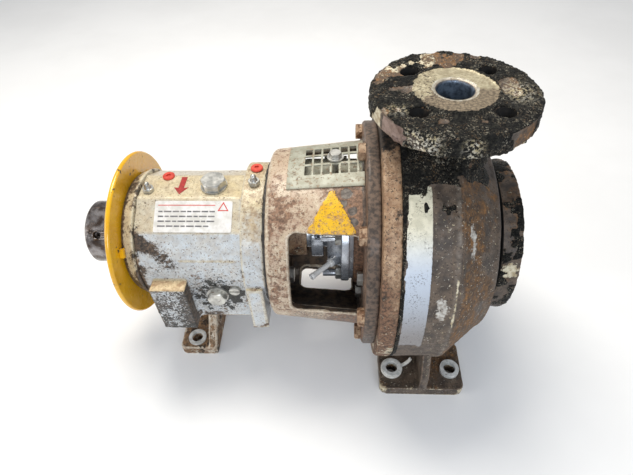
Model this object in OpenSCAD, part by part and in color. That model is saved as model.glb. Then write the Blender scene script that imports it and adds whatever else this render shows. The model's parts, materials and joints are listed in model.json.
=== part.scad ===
// End-suction circulation pump on a bearing frame: volute casing, lantern, mechanical seal,
// rolling bearings and a bare shaft end with a coupling hub.
// Origin: centre of the casing feet on the base plane. +X to the suction flange, +Z to the discharge.

/* [Main sizes] */
// Height of the shaft above the base
shaft_h = 160; // [158:0.5:164]
// Height of the discharge flange face above the shaft
discharge_h = 180; // [176:0.5:184]
// Distance from the discharge centre line to the suction flange face
suction_x = 80; // [79:0.5:82]
// Distance from the discharge centre line to the shaft end
shaft_end_x = 385; // [384:0.5:388]

/* [Casing] */
// Radius of the bolted joint and the casing
casing_r = 138; // [136:0.5:142]
// Outside radius of the impeller
impeller_r = 101; // [94:0.5:102]
// Outside radius of the suction flange
suction_flange_r = 82.5; // [81:0.5:85]
// Bolt circle radius of the suction flange
suction_bolt_r = 62.5; // [61:0.5:63]
// Outside radius of the discharge flange
discharge_flange_r = 73; // [70:0.5:75]
// Bolt circle radius of the discharge flange
discharge_bolt_r = 50; // [49:0.5:52]
// Radius of the flange bolt holes
flange_hole_r = 9; // [7:0.5:9]

/* [Feet] */
// Foot hole spacing along the shaft
foot_hole_dx = 70; // [64:1:72]
// Foot hole spacing across the shaft
foot_hole_dy = 190; // [186:1:192]
// Thickness of the feet
foot_t = 15; // [12:0.5:16]
// Radius of the foot bolt holes
foot_hole_r = 7; // [6:0.5:7.5]
// Distance of the support foot holes behind the origin
support_x = 285; // [283:0.5:287]
// Hole spacing of the support foot
support_hole_dy = 110; // [106:1:112]

/* [Bearing frame] */
// Half width of the bearing housing
housing_half_w = 70; // [69:0.5:72]
// Radius of the coupling hub
hub_r = 35.8; // [32:0.1:36.5]
// Radius of the round guard plate behind the coupling
guard_r = 93; // [85:1:100]
// Radius of the bearing seats in the housing
bearing_seat_r = 40; // [40:0.5:40.5]

/* [Lantern] */
// Radius of the lantern at its bearing end
lantern_r = 95; // [94:0.5:96]
// Radius of the lantern at its casing end
lantern_big_r = 104.2; // [103:0.1:104.4]

/* [Hidden] */
$fn = 96;

// Radial gap between a fastener and its hole
hole_gap = 0.1;
// Through cuts run past the faces by this much
over = 1;

// Places along the shaft, from the coupling (minus) to the suction (plus)
guard_x = [-331.5, -326.5];
drive_cover_x = [-326.5, -312];
drive_bearing_x = [-306, -264];
drive_row_x = [[-306, -285.05], [-284.95, -264]];
housing_x = [-312, -176];
frame_flange_x = [-200, -176];
pump_bearing_x = [-205, -184];
lantern_x = [-173, -62];
lantern_wall_x = -163;
lantern_flange_x = -75;
cover_x = [-62, -45];
chamber_x = -85;
gland_x = [-98, -89];
sleeve_x = [-131, -14];

// Bearings: pitch radius of the rolling parts, their size and the races
bearing_bore_r = 17.5;
pitch_r = 28.75;
ball_r = 6.75;
roller_r = 5.5;
roller_l = 12;
ball_count = 11;
roller_count = 13;
rolling_gap = 0.05;

// Bolt circles
joint_bolt_r = 115;
cover_screw_r = 68;
gland_stud_r = 48;
frame_bolt_r = 66;
drive_screw_r = 56;
pump_screw_r = 46;
guard_screw_r = 44;

// Colours
cream = [0.86, 0.83, 0.74];
rust = [0.45, 0.3, 0.2];
tan_rust = [0.62, 0.48, 0.36];
burnt = [0.25, 0.21, 0.19];
steel = [0.62, 0.63, 0.65];
dark_steel = [0.3, 0.3, 0.32];
zinc = [0.66, 0.66, 0.62];
mesh_green = [0.55, 0.57, 0.5];
yellow = [0.9, 0.66, 0.03];
red = [0.75, 0.15, 0.1];
bronze = [0.72, 0.58, 0.3];
black_rubber = [0.08, 0.08, 0.08];
white = [0.9, 0.9, 0.88];

// ---------- helpers ----------

// Turn children so that their Z runs along the shaft, starting at x
module on_shaft(x = 0) {
    translate([x, 0, shaft_h]) rotate([0, 90, 0]) children();
}

// Solid of revolution about the shaft from [x, radius] points
module turned(outline) {
    on_shaft() rotate_extrude() polygon([for (p = outline) [p[1], p[0]]]);
}

module disc(x0, x1, r) {
    on_shaft(x0) cylinder(h = x1 - x0, r = r);
}

module ring(x0, x1, r_in, r_out) {
    difference() {
        disc(x0, x1, r_out);
        disc(x0 - over, x1 + over, r_in);
    }
}

// Place children at a radius and an angle above the horizontal, on the -Y side of the shaft
module at_angle(x, r, a) {
    translate([x, -r * cos(a), shaft_h + r * sin(a)]) children();
}

// Rod along X inside children's frame
module rod_x(x0, x1, r) {
    translate([x0, 0, 0]) rotate([0, 90, 0]) cylinder(h = x1 - x0, r = r, $fn = 48);
}

module rod_z(z0, z1, r) {
    translate([0, 0, z0]) cylinder(h = z1 - z0, r = r, $fn = 48);
}

module rod_y(y0, y1, r) {
    translate([0, y1, 0]) rotate([90, 0, 0]) cylinder(h = y1 - y0, r = r, $fn = 48);
}

module around_shaft(x, r, count, first) {
    for (i = [0 : count - 1]) at_angle(x, r, first + i * 360 / count) children();
}

// Hexagon prism along Z with a chamfered top, across flats af
module hex_z(z0, h, af) {
    translate([0, 0, z0]) intersection() {
        cylinder(h = h, r = af / sqrt(3), $fn = 6);
        union() {
            cylinder(h = h - af * 0.06, r = af);
            translate([0, 0, h - af * 0.06])
                cylinder(h = af * 0.06, r1 = af / 2 * 1.13, r2 = af / 2);
        }
    }
}

// Hex bolt with its head on the -X side, its seat at x = 0 and its shank towards +X
module hex_bolt_x(shank_r, shank_l, af, head_h) {
    rotate([0, -90, 0]) hex_z(0, head_h, af);
    rod_x(-0.5, shank_l, shank_r);
}

// Socket screw with its head on the -X side, its seat at x = 0 and its shank towards +X
module socket_screw_x(shank_r, shank_l, head_r, head_h) {
    difference() {
        rod_x(-head_h, 0, head_r);
        translate([-head_h - over, 0, 0]) rotate([0, 90, 0])
            cylinder(h = head_h * 0.6 + over, r = head_r * 0.55, $fn = 6);
    }
    rod_x(-0.5, shank_l, shank_r);
}

module rounded_square(w, h, r) {
    square([w - 2 * r, h], center = true);
    square([w, h - 2 * r], center = true);
    for (sx = [-1, 1], sy = [-1, 1])
        translate([sx * (w / 2 - r), sy * (h / 2 - r)]) circle(r);
}

// Window cut straight out from the shaft at an angle, between x0 and x1
module window_cut(x0, x1, angle, width, corner) {
    translate([(x0 + x1) / 2, 0, shaft_h]) rotate([90 - angle, 0, 0])
        translate([0, 0, 50]) linear_extrude(80) rounded_square(x1 - x0, width, corner);
}

// ---------- casing ----------

casing_back_x = -45;
casing_bore_r = 104.5;
ridge_x = [0, 7];
taper_start = [9, 136];
taper_end = [43, 107];
casing_front_x = 50;
suction_r = 25;
discharge_r = 16;
eye_r = 30;
raised_face = 2;
suction_flange_t = 20;
discharge_flange_t = 18;
corner_r = 7;
corner_centre_r = 99.6;

module casing_skin() {
    turned([[casing_back_x, 90], [casing_back_x, casing_r - 1], [casing_back_x + 1, casing_r],
        [ridge_x[0] - 3, casing_r - 1.5], [ridge_x[0], casing_r], [ridge_x[1], casing_r],
        taper_start, taper_end,
        for (a = [50 : -10 : 0])
            [casing_front_x - corner_r + corner_r * cos(a), corner_centre_r + corner_r * sin(a)],
        [casing_front_x, 60], [casing_front_x + 3, 46], [casing_front_x + 10, 40],
        [casing_front_x + 10, 20], [0, 20]]);
}

module suction_flange() {
    face = suction_x - raised_face;
    disc(casing_front_x, face - suction_flange_t + over, 40);
    disc(face - suction_flange_t, face, suction_flange_r);
    disc(face - over, suction_x, 51);
}

module discharge_flange() {
    face = shaft_h + discharge_h - raised_face;
    rod_z(shaft_h + 90, face - over, 27);
    translate([0, 0, shaft_h + 118]) cylinder(h = 32, r1 = 44, r2 = 27);
    translate([0, 0, face - discharge_flange_t]) cylinder(h = discharge_flange_t, r = discharge_flange_r);
    translate([0, 0, face - over]) cylinder(h = raised_face + over, r = 39);
}

// Spiral water passage, growing from the cutwater round to the discharge
module volute_passage() {
    cutwater_r = 107;
    growth = 20;
    cutwater_angle = 65;
    on_shaft(-13) linear_extrude(24) polygon([for (t = [0 : 7.5 : 360])
        let (a = cutwater_angle - t, r = cutwater_r + growth * t / 360) [-r * sin(a), -r * cos(a)]]);
}

module casing_foot(side) {
    edge = 120 * side;
    difference() {
        union() {
            translate([0, side * 87.5, 0]) linear_extrude(foot_t) rounded_square(100, 65, 8);
            // Upright rib from the front of the foot up to the casing
            translate([-5, 0, 0]) rotate([90, 0, 90]) linear_extrude(10)
                polygon([[edge, 0], [edge, 42], [side * 104, 78], [side * 60, 62], [side * 60, 0]]);
            // Cross web under the casing
            translate([-36, side * 67 - 6, 0]) cube([72, 12, 50]);
        }
        for (sx = [-1, 1]) translate([sx * foot_hole_dx / 2, side * foot_hole_dy / 2, 0])
            rod_z(-over, foot_t + over, foot_hole_r);
    }
}

module volute_casing() {
    face = suction_x - raised_face;
    top = shaft_h + discharge_h;
    color(burnt) difference() {
        union() {
            casing_skin();
            suction_flange();
            discharge_flange();
            casing_foot(-1);
            casing_foot(1);
            translate([0, 0, shaft_h - casing_r]) rod_z(-1.5, 20, 13);
        }
        // Wet chamber, wear ring seat and suction bore
        turned([[casing_back_x - over, 0], [casing_back_x - over, casing_bore_r], [14, casing_bore_r],
            [28, 96], [30, 58], [22, 50], [22, 38], [33, 38], [33, eye_r], [40, suction_r],
            [suction_x + over, suction_r], [suction_x + over, 0]]);
        ring(casing_back_x - over, casing_back_x + 2, casing_bore_r - over, casing_bore_r + 4);
        volute_passage();
        rod_z(shaft_h + 100, top + over, discharge_r);
        translate([0, 0, top - 2]) cylinder(h = 3, r1 = discharge_r, r2 = discharge_r + 3);
        // Flange bolt holes
        for (i = [0 : 3]) {
            rotate(45 + 90 * i) translate([discharge_bolt_r, 0, 0])
                rod_z(top - 26, top + over, flange_hole_r);
        }
        around_shaft(0, suction_bolt_r, 4, 45)
            rod_x(face - suction_flange_t - over, face + over, flange_hole_r);
        // Joint bolt holes and the drain
        around_shaft(0, joint_bolt_r, 8, -1) rod_x(casing_back_x - over, -22, 5 + hole_gap);
        rod_z(shaft_h - casing_r - 5, shaft_h - 100, 6 + hole_gap);
    }
}

module casing_wear_ring() {
    color(steel) ring(22, 32.5, 34.25, 38);
}

module casing_gasket() {
    color(black_rubber) ring(casing_back_x, casing_back_x + 2, casing_bore_r, casing_bore_r + 4);
}

module casing_drain_plug() {
    seat = shaft_h - casing_r - 1.5;
    color(rust) {
        translate([0, 0, seat]) mirror([0, 0, 1]) hex_z(0, 9, 19);
        rod_z(seat - over, seat + 16, 6);
    }
}

module casing_cover() {
    chamber_r = 31;
    throat_r = 17.3;
    boss_r = 57.8;
    spigot_r = casing_bore_r - hole_gap;
    color(tan_rust) difference() {
        turned([[chamber_x, chamber_r], [chamber_x, boss_r - 2], [chamber_x + 2, boss_r],
            [cover_x[0], boss_r],
            [cover_x[0], casing_r - 1.5], [cover_x[0] + 1.5, casing_r], [cover_x[1] - 1.5, casing_r],
            [cover_x[1], casing_r - 1.5], [cover_x[1], spigot_r], [-22, spigot_r], [-20, spigot_r - 2],
            [-20, throat_r], [-25, throat_r], [-25, chamber_r]]);
        around_shaft(0, joint_bolt_r, 8, -1) rod_x(cover_x[0] - over, cover_x[1] + over, 5 + hole_gap);
        around_shaft(0, cover_screw_r, 8, 0) rod_x(cover_x[0] - over, cover_x[1] - 3, 4 + hole_gap);
        around_shaft(0, gland_stud_r, 4, 38) rod_x(chamber_x - over, chamber_x + 17, 4 + hole_gap);
    }
}

// ---------- lantern ----------

module frame_adapter() {
    round_r = 6;
    wall_bore_r = 56;
    color([0.78, 0.68, 0.58]) difference() {
        turned([[lantern_x[0], wall_bore_r],
            for (a = [0 : 15 : 90])
                [lantern_x[0] + round_r - round_r * cos(a), lantern_r - round_r + round_r * sin(a)],
            [lantern_flange_x, lantern_big_r], [lantern_flange_x, 124], [lantern_flange_x + 1, 125],
            [lantern_x[1], 125], [lantern_x[1], 58], [lantern_flange_x, 58],
            [lantern_flange_x, 96], [lantern_wall_x, 87], [lantern_wall_x, wall_bore_r]]);
        window_cut(-149, lantern_flange_x - 0.5, 17, 91, 7);
        window_cut(-149, lantern_flange_x - 0.5, 163, 91, 7);
        window_cut(-142, lantern_flange_x - 0.5, 91, 54, 7);
        window_cut(-149, -84, -93, 34, 7);
        around_shaft(0, joint_bolt_r, 8, -1)
            rod_x(lantern_flange_x - over, lantern_x[1] + over, 5 + hole_gap);
        around_shaft(0, cover_screw_r, 8, 0)
            rod_x(lantern_flange_x - over, lantern_x[1] + over, 4 + hole_gap);
        around_shaft(0, frame_bolt_r, 4, 10) rod_x(lantern_x[0] - over, lantern_wall_x + over, 6 + hole_gap);
    }
}

module adapter_bolts() {
    color(rust) around_shaft(lantern_flange_x, joint_bolt_r, 8, -1) hex_bolt_x(5, 50, 16, 7);
}

module cover_screws() {
    color(zinc) around_shaft(lantern_flange_x, cover_screw_r, 8, 0) hex_bolt_x(4, 24, 13, 6);
}

// Sheet guard over the top window, with a grid of openings
mesh_x = [-152, -76];
mesh_t = 1.5;
mesh_angles = [71, 114];
mesh_cols = 7;
mesh_rows = 3;
mesh_pitch_x = 9;
mesh_pitch_a = 8.9;
mesh_first_x = -131.4;
mesh_first_a = 83.4;

// Radius of the lantern's outside at x
function lantern_radius(x) = lantern_r + (lantern_big_r - lantern_r)
    * (x - lantern_x[0] - 6) / (lantern_flange_x - lantern_x[0] - 6);

// Wedge about the shaft between two angles, used to cut pieces of a ring
module wedge(x0, x1, a0, a1, r) {
    on_shaft(x0) linear_extrude(x1 - x0) polygon([[0, 0],
        for (a = [a0, (a0 + a1) / 2, a1]) [-r * sin(a), -r * cos(a)]]);
}

module mesh_guard() {
    r0 = lantern_radius(mesh_x[0]) + 0.05;
    r1 = lantern_radius(mesh_x[1]) + 0.05;
    color(mesh_green) difference() {
        intersection() {
            turned([[mesh_x[0], r0], [mesh_x[0], r0 + mesh_t], [mesh_x[1], r1 + mesh_t], [mesh_x[1], r1]]);
            wedge(mesh_x[0] - over, mesh_x[1] + over, mesh_angles[0], mesh_angles[1], 160);
        }
        for (i = [0 : mesh_cols - 1], j = [0 : mesh_rows - 1])
            translate([mesh_first_x + i * mesh_pitch_x, 0, shaft_h])
                rotate([90 - mesh_first_a - j * mesh_pitch_a, 0, 0])
                translate([0, 0, 100]) cube([7, 13, 30], center = true);
    }
}

// Bolt through the middle of the grid, with its washer, into the clamp bar
mesh_bolt_x = mesh_first_x + 3 * mesh_pitch_x;
mesh_bolt_a = mesh_first_a + mesh_pitch_a;
mesh_bolt_seat = lantern_radius(mesh_bolt_x) + 0.05 + mesh_t + 0.6;
bar_top_r = 84;

module mesh_guard_bolt() {
    color(zinc) translate([mesh_bolt_x, 0, shaft_h]) rotate([90 - mesh_bolt_a, 0, 0]) {
        rod_z(mesh_bolt_seat, mesh_bolt_seat + 1.5, 8.5);
        hex_z(mesh_bolt_seat + 1.4, 5, 11);
        rod_z(bar_top_r - 6, mesh_bolt_seat + 2, 3);
    }
}

module mesh_clamp_bar() {
    color(mesh_green) translate([mesh_bolt_x, 0, shaft_h]) rotate([90 - mesh_bolt_a, 0, 0]) difference() {
        union() {
            translate([-4, 7, bar_top_r - 3]) linear_extrude(3) rounded_square(64, 38, 8);
            // Feet that reach out to the edges of the window
            for (sy = [-1, 1]) translate([-12, sy * 28 - 3, bar_top_r - 3]) cube([24, 6, 3]);
            for (sy = [-1, 1]) translate([-12, sy * 19 - 7, bar_top_r - 3]) cube([24, 14, 3]);
        }
        rod_z(bar_top_r - 10, bar_top_r + over, 3 + hole_gap);
    }
}

// ---------- mechanical seal ----------

module seal_gland() {
    seat_r = 26.05;
    bore_r = 18.5;
    color(steel) difference() {
        union() {
            turned([[-113, bore_r], [-113, 33], [-111, 35], [gland_x[0], 40],
                [gland_x[0], 55], [gland_x[0] + 1, 56], [gland_x[1] - 1, 56], [gland_x[1], 55],
                [gland_x[1], 53], [chamber_x, 53], [chamber_x, seat_r], [-94, seat_r], [-94, bore_r]]);
            // Boss for the quench pipe
            translate([-103, -37, shaft_h - 4]) rotate([0, 90, 225]) cylinder(h = 7, r = 5.5);
        }
        around_shaft(0, gland_stud_r, 4, 38) rod_x(gland_x[0] - over, chamber_x + over, 4 + hole_gap);
        disc(-120, -94, bore_r);
        translate([-103, -37, shaft_h - 4]) rotate([0, 90, 225]) cylinder(h = 20, r = 3 + hole_gap);
    }
}

module gland_studs() {
    color(steel) around_shaft(0, gland_stud_r, 4, 38) rod_x(-119, chamber_x + 15, 4);
}

module gland_nuts() {
    color(zinc) around_shaft(gland_x[0], gland_stud_r, 4, 38) difference() {
        rotate([0, -90, 0]) hex_z(0, 6.5, 13);
        rod_x(-10, over, 4 + hole_gap);
    }
}

module quench_pipe() {
    color(steel) translate([-103, -37, shaft_h - 4]) rotate([0, 90, 225]) difference() {
        union() {
            rod_z(1, 38, 3);
            rod_z(7, 11, 4.6);
            rod_z(34, 38, 3.5);
        }
        rod_z(0, 39, 2);
    }
}

module seal_stationary_ring() {
    color(dark_steel) ring(-93.9, -77.5, 18, 26);
}

module seal_rotating_ring() {
    color(black_rubber) ring(-77.48, -69, 17.02, 24);
}

module seal_spring() {
    coil_r = 20.8;
    wire_r = 1.3;
    turns = 3.5;
    x0 = -67.6;
    color(steel) {
        on_shaft(x0) linear_extrude(height = 14, twist = -360 * turns, slices = 24 * turns, $fn = 8)
            translate([coil_r, 0]) circle(wire_r, $fn = 8);
        ring(-69, x0 + 0.4, 17.02, 23.5);
        ring(x0 + 13.6, -50, 17.02, 25);
    }
}

module seal_drive_collar() {
    color(steel) difference() {
        ring(sleeve_x[0], sleeve_x[0] + 13, 17.02, 28);
        for (a = [35, 155, 275]) translate([sleeve_x[0] + 6.5, 0, shaft_h]) rotate([90 - a, 0, 0])
            rod_z(16, 29, 2.5);
    }
}

module shaft_sleeve() {
    color(steel) ring(sleeve_x[0], sleeve_x[1], 14.02, 17);
}

// ---------- bearing frame ----------

// Half outline of the housing section: [across, height]
housing_top = 69;
housing_base = 70;
housing_half = [[17.9, housing_top], [51.3, 49.5], [67.3, 23.7], [housing_half_w, 5],
    [housing_half_w, -housing_base]];

module housing_section() {
    n = len(housing_half);
    polygon(concat(housing_half, [for (i = [n - 1 : -1 : 0]) [-housing_half[i][0], housing_half[i][1]]]));
}

// Extrude a section given as [y, z] about the shaft, along X
module section_x(x0, x1) {
    translate([x0, 0, shaft_h]) rotate([90, 0, 90]) linear_extrude(x1 - x0) children();
}

filler_x = -233;
side_plug = [-233.5, 134];
level_plug = [-214, 141];
cap_spots = [[-286, 16, 229], [-188, 16, 240]];
nipple_spots = [[-302, -7, 229], [-188, -8, 240]];

module frame_flange() {
    section_x(frame_flange_x[0], frame_flange_x[1]) intersection() {
        circle(80);
        translate([-100, -76]) square([200, 156]);
    }
    for (side = [-1, 1]) translate([frame_flange_x[0] + 2, side * 72.5 - 12.5, shaft_h - 72])
        cube([18, 25, 69.5]);
}

module bearing_housing() {
    sump_x = [-258, -211];
    color(cream) difference() {
        union() {
            section_x(housing_x[0], frame_flange_x[0] + 2) housing_section();
            frame_flange();
            // Blocks either side of the drive end bearings
            for (side = [-1, 1]) translate([-300, side * 73.5 - 13.5, shaft_h - 71]) cube([38, 27, 71]);
        }
        disc(housing_x[0] - over, drive_bearing_x[1], bearing_seat_r);
        disc(pump_bearing_x[0], housing_x[1] + over, bearing_seat_r);
        disc(drive_bearing_x[1] - over, pump_bearing_x[0] + over, 34);
        disc(sump_x[0], sump_x[1], 58);
        // Oil filler, side plug and level plug
        translate([filler_x, 0, 0]) rod_z(shaft_h + 50, shaft_h + 72, 8 + hole_gap);
        translate([side_plug[0], 0, side_plug[1]]) rod_y(-75, -45, 6 + hole_gap);
        translate([level_plug[0], 0, level_plug[1]]) rod_y(-75, -50, 4 + hole_gap);
        for (p = cap_spots) translate([p[0], p[1], 0]) rod_z(p[2] - 11, p[2] + over, 3 + hole_gap);
        for (p = nipple_spots) translate([p[0], p[1], 0]) rod_z(p[2] - 11, p[2] + over, 3 + hole_gap);
        // Fastener holes
        around_shaft(0, drive_screw_r, 4, 45) rod_x(housing_x[0] - over, -294, 4 + hole_gap);
        around_shaft(0, pump_screw_r, 4, 55) rod_x(-191, housing_x[1] + over, 3 + hole_gap);
        around_shaft(0, frame_bolt_r, 4, 10) rod_x(-197, housing_x[1] + over, 6 + hole_gap);
        for (sy = [-1, 1]) translate([-286, sy * 22, 0])
            rod_z(shaft_h - housing_base - over, shaft_h - housing_base + 17, 5 + hole_gap);
    }
}

module frame_gasket() {
    color(black_rubber) difference() {
        ring(housing_x[1], lantern_x[0], 56, 84);
        around_shaft(0, frame_bolt_r, 4, 10) rod_x(housing_x[1] - over, lantern_x[0] + over, 6 + hole_gap);
    }
}

module frame_bolts() {
    color(zinc) around_shaft(lantern_wall_x, frame_bolt_r, 4, 10)
        mirror([1, 0, 0]) hex_bolt_x(6, 32, 18, 7.5);
}

module drive_bearing_cover() {
    seal_r = 23;
    color(cream) difference() {
        turned([[drive_cover_x[0], seal_r], [drive_cover_x[0], 66], [drive_cover_x[0] + 1.5, 67.5],
            [drive_cover_x[1] - 2, 73], [drive_cover_x[1], 73], [drive_cover_x[1], 39.9],
            [drive_bearing_x[0], 39.9], [drive_bearing_x[0], 37], [-316.5, 30], [-316.5, 18],
            [-317.5, 18], [-317.5, seal_r]]);
        around_shaft(0, drive_screw_r, 4, 45) {
            rod_x(drive_cover_x[0] - over, drive_cover_x[1] + over, 4 + hole_gap);
            rod_x(drive_cover_x[0] - over, -318, 6.6);
        }
        around_shaft(0, guard_screw_r, 4, 20) rod_x(drive_cover_x[0] - over, -315, 3 + hole_gap);
    }
}

module drive_cover_screws() {
    color(dark_steel) around_shaft(-318, drive_screw_r, 4, 45) socket_screw_x(4, 22, 6.4, 7.5);
}

module pump_bearing_cover() {
    color(tan_rust) difference() {
        turned([[pump_bearing_x[1], 34], [pump_bearing_x[1], 39.9], [housing_x[1], 39.9],
            [housing_x[1], 52], [-168, 52], [-168, 29], [-166, 27], [-137, 27], [-136, 26],
            [-136, 23], [-150, 23], [-150, 18.5], [-152, 18.5], [-152, 20], [-178, 20], [-178, 34]]);
        around_shaft(0, pump_screw_r, 4, 55) rod_x(housing_x[1] - over, -167, 3 + hole_gap);
    }
}

module pump_cover_screws() {
    color(zinc) around_shaft(-168, pump_screw_r, 4, 55) mirror([1, 0, 0]) hex_bolt_x(3, 21, 10, 4);
}

// ---------- bearings ----------

module ball_groove(x) {
    on_shaft(x) rotate_extrude() translate([pitch_r, 0]) circle(ball_r + rolling_gap);
}

module drive_bearing_outer_races() {
    color(steel) for (row = drive_row_x) difference() {
        ring(row[0], row[1], 33, bearing_seat_r);
        ball_groove((row[0] + row[1]) / 2);
    }
}

module drive_bearing_inner_races() {
    color(steel) for (row = drive_row_x) difference() {
        ring(row[0], row[1], bearing_bore_r, 24.5);
        ball_groove((row[0] + row[1]) / 2);
    }
}

module drive_bearing_balls() {
    color(steel) for (row = drive_row_x)
        around_shaft((row[0] + row[1]) / 2, pitch_r, ball_count, 0) sphere(ball_r, $fn = 48);
}

module drive_bearing_cages() {
    color(bronze) for (row = drive_row_x) {
        mid = (row[0] + row[1]) / 2;
        difference() {
            ring(mid - 9, mid + 9, 27.2, 30.4);
            for (b = [0 : ball_count - 1]) translate([mid, 0, shaft_h])
                rotate([90 - b * 360 / ball_count, 0, 0]) rod_z(20, 36, ball_r + rolling_gap);
        }
    }
}

pump_bearing_mid = (pump_bearing_x[0] + pump_bearing_x[1]) / 2;

module pump_bearing_outer_race() {
    color(steel) difference() {
        ring(pump_bearing_x[0], pump_bearing_x[1], 32.4, bearing_seat_r);
        disc(pump_bearing_mid - roller_l / 2 - 0.1, pump_bearing_mid + roller_l / 2 + 0.1,
            pitch_r + roller_r + rolling_gap);
    }
}

module pump_bearing_inner_race() {
    color(steel) ring(pump_bearing_x[0], pump_bearing_x[1], bearing_bore_r, pitch_r - roller_r - rolling_gap);
}

module pump_bearing_rollers() {
    color(steel) around_shaft(pump_bearing_mid, pitch_r, roller_count, 0)
        rod_x(-roller_l / 2, roller_l / 2, roller_r);
}

module pump_bearing_cage() {
    color(bronze) difference() {
        ring(pump_bearing_mid - 9, pump_bearing_mid + 9, 26.6, 30.9);
        around_shaft(pump_bearing_mid, pitch_r, roller_count, 0)
            rod_x(-roller_l / 2 - 0.1, roller_l / 2 + 0.1, roller_r + rolling_gap);
    }
}

module drive_shaft_seal() {
    color(black_rubber) turned([[-325.5, 23], [-317.5, 23], [-317.5, 19], [-319, 17], [-320, 15.05],
        [-322, 15.05], [-323, 17], [-325.5, 18]]);
}

module pump_shaft_seal() {
    color(black_rubber) turned([[-150, 23], [-142, 23], [-142, 20], [-144, 19], [-145, 17.45],
        [-147, 17.45], [-148, 19], [-150, 20]]);
}

// ---------- rotor ----------

impeller_nut_x = 24;

module pump_shaft() {
    key_w = 8;
    color(steel) difference() {
        turned([[-shaft_end_x, 0], [-shaft_end_x, 11], [-shaft_end_x + 1, 12], [-334, 12], [-334, 15],
            [-316, 15], [-316, 17], [drive_bearing_x[0], 17], [drive_bearing_x[0], bearing_bore_r],
            [drive_bearing_x[1], bearing_bore_r], [drive_bearing_x[1], 21], [pump_bearing_x[0], 21],
            [pump_bearing_x[0], bearing_bore_r], [pump_bearing_x[1], bearing_bore_r],
            [pump_bearing_x[1], 17.4], [sleeve_x[0], 17.4], [sleeve_x[0], 14], [sleeve_x[1], 14],
            [sleeve_x[1], 11], [impeller_nut_x, 11], [impeller_nut_x, 8], [35, 8], [36, 7], [36, 0]]);
        translate([-378, -key_w / 2, shaft_h + 8]) cube([38, key_w, 6]);
        translate([-8, -3, shaft_h + 7.5]) cube([24, 6, 5]);
    }
}

module coupling_key() {
    color(steel) translate([-378, -4, shaft_h + 8]) cube([38, 8, 7]);
}

module impeller_key() {
    color(steel) translate([-8, -3, shaft_h + 7.5]) cube([24, 6, 6]);
}

hub_x = [-384, -334];
hub_screw_x = -368.7;
hub_screw_a = 38;

module coupling_hub() {
    color(dark_steel) difference() {
        turned([[hub_x[0], 12], [hub_x[0], hub_r - 3], [hub_x[0] + 3, hub_r], [hub_x[1] - 1, hub_r],
            [hub_x[1], hub_r - 1], [hub_x[1], 12]]);
        translate([hub_x[0] - over, -4, shaft_h + 8]) cube([60, 8, 7]);
        translate([hub_screw_x, 0, shaft_h]) rotate([90 - hub_screw_a, 0, 0])
            rod_z(11, hub_r + over, 4 + hole_gap);
    }
}

module hub_set_screw() {
    color(dark_steel) translate([hub_screw_x, 0, shaft_h]) rotate([90 - hub_screw_a, 0, 0]) difference() {
        rod_z(12.1, 31, 4);
        translate([0, 0, 27]) cylinder(h = 5, r = 2.3, $fn = 6);
    }
}

// Backward-curved vane seen along the shaft, half of a thin ring
module vane_outline() {
    centre = 50;
    vane_r = 60;
    vane_t = 4;
    intersection() {
        translate([centre, 0]) difference() {
            circle(vane_r + vane_t / 2);
            circle(vane_r - vane_t / 2);
        }
        translate([-10, 0]) square([120, 70]);
    }
}

module impeller() {
    vanes = 6;
    color([0.5, 0.46, 0.4]) difference() {
        union() {
            // Hub and back shroud
            turned([[-13, 11.02], [-13, 19], [-12, impeller_r], [-7, impeller_r], [-5, 40], [2, 24],
                [12, 17], [24, 16], [24, 11.02]]);
            // Front shroud and eye ring
            turned([[4, impeller_r], [9, impeller_r], [13, 70], [18, 44], [20, 34], [31, 34], [31, eye_r],
                [16, eye_r], [13, 40], [8, 70]]);
            intersection() {
                turned([[-8, 26], [-8, impeller_r], [5, impeller_r], [9, 70], [14, 42], [17, 32], [17, 26]]);
                for (i = [0 : vanes - 1]) on_shaft(-9) rotate([0, 0, i * 360 / vanes])
                    linear_extrude(28) vane_outline();
            }
        }
        translate([-14, -3, shaft_h + 7.5]) cube([40, 6, 6]);
    }
}

module impeller_nut() {
    color(steel) on_shaft(impeller_nut_x) difference() {
        union() {
            hex_z(0, 10, 27);
            translate([0, 0, 9]) cylinder(h = 6.4, r1 = 12.5, r2 = 8.5);
        }
        translate([0, 0, -over]) cylinder(h = 13.2, r = 8 + hole_gap);
    }
}

module bearing_lock_nut() {
    color(dark_steel) difference() {
        ring(-315.5, drive_bearing_x[0], 17.02, 24);
        for (i = [0 : 3]) translate([-311, 0, shaft_h]) rotate([90 * i, 0, 0])
            translate([0, 0, 23.5]) cube([12, 5, 4], center = true);
    }
}

// ---------- plugs, caps and labels on the housing ----------

module oil_filler_plug() {
    color(zinc) translate([filler_x, 0, 0]) {
        rod_z(shaft_h + housing_top, shaft_h + housing_top + 2, 14);
        hex_z(shaft_h + housing_top + 1.9, 8, 24);
        rod_z(shaft_h + 52, shaft_h + housing_top + 3, 8);
    }
}

module oil_side_plug() {
    y = -housing_half_w;
    color(zinc) translate([side_plug[0], y, side_plug[1]]) {
        rod_y(-3, 0, 12);
        rotate([90, 0, 0]) hex_z(2.9, 7, 19);
        rod_y(-4, 14, 6);
    }
}

module oil_level_plug() {
    color(zinc) translate([level_plug[0], -housing_half_w, level_plug[1]]) difference() {
        union() {
            rod_y(-3.5, 0, 6);
            rod_y(-1, 12, 4);
        }
        translate([-8, -5, -0.8]) cube([16, 3, 1.6]);
    }
}

module grease_nipples() {
    color(zinc) for (p = nipple_spots) translate(p) {
        rod_z(-9, 1, 3);
        hex_z(0, 4, 11);
        translate([0, 0, 3.9]) cylinder(h = 4, r1 = 4, r2 = 2.4, $fn = 48);
        translate([0, 0, 8.3]) sphere(3, $fn = 48);
    }
}

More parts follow.
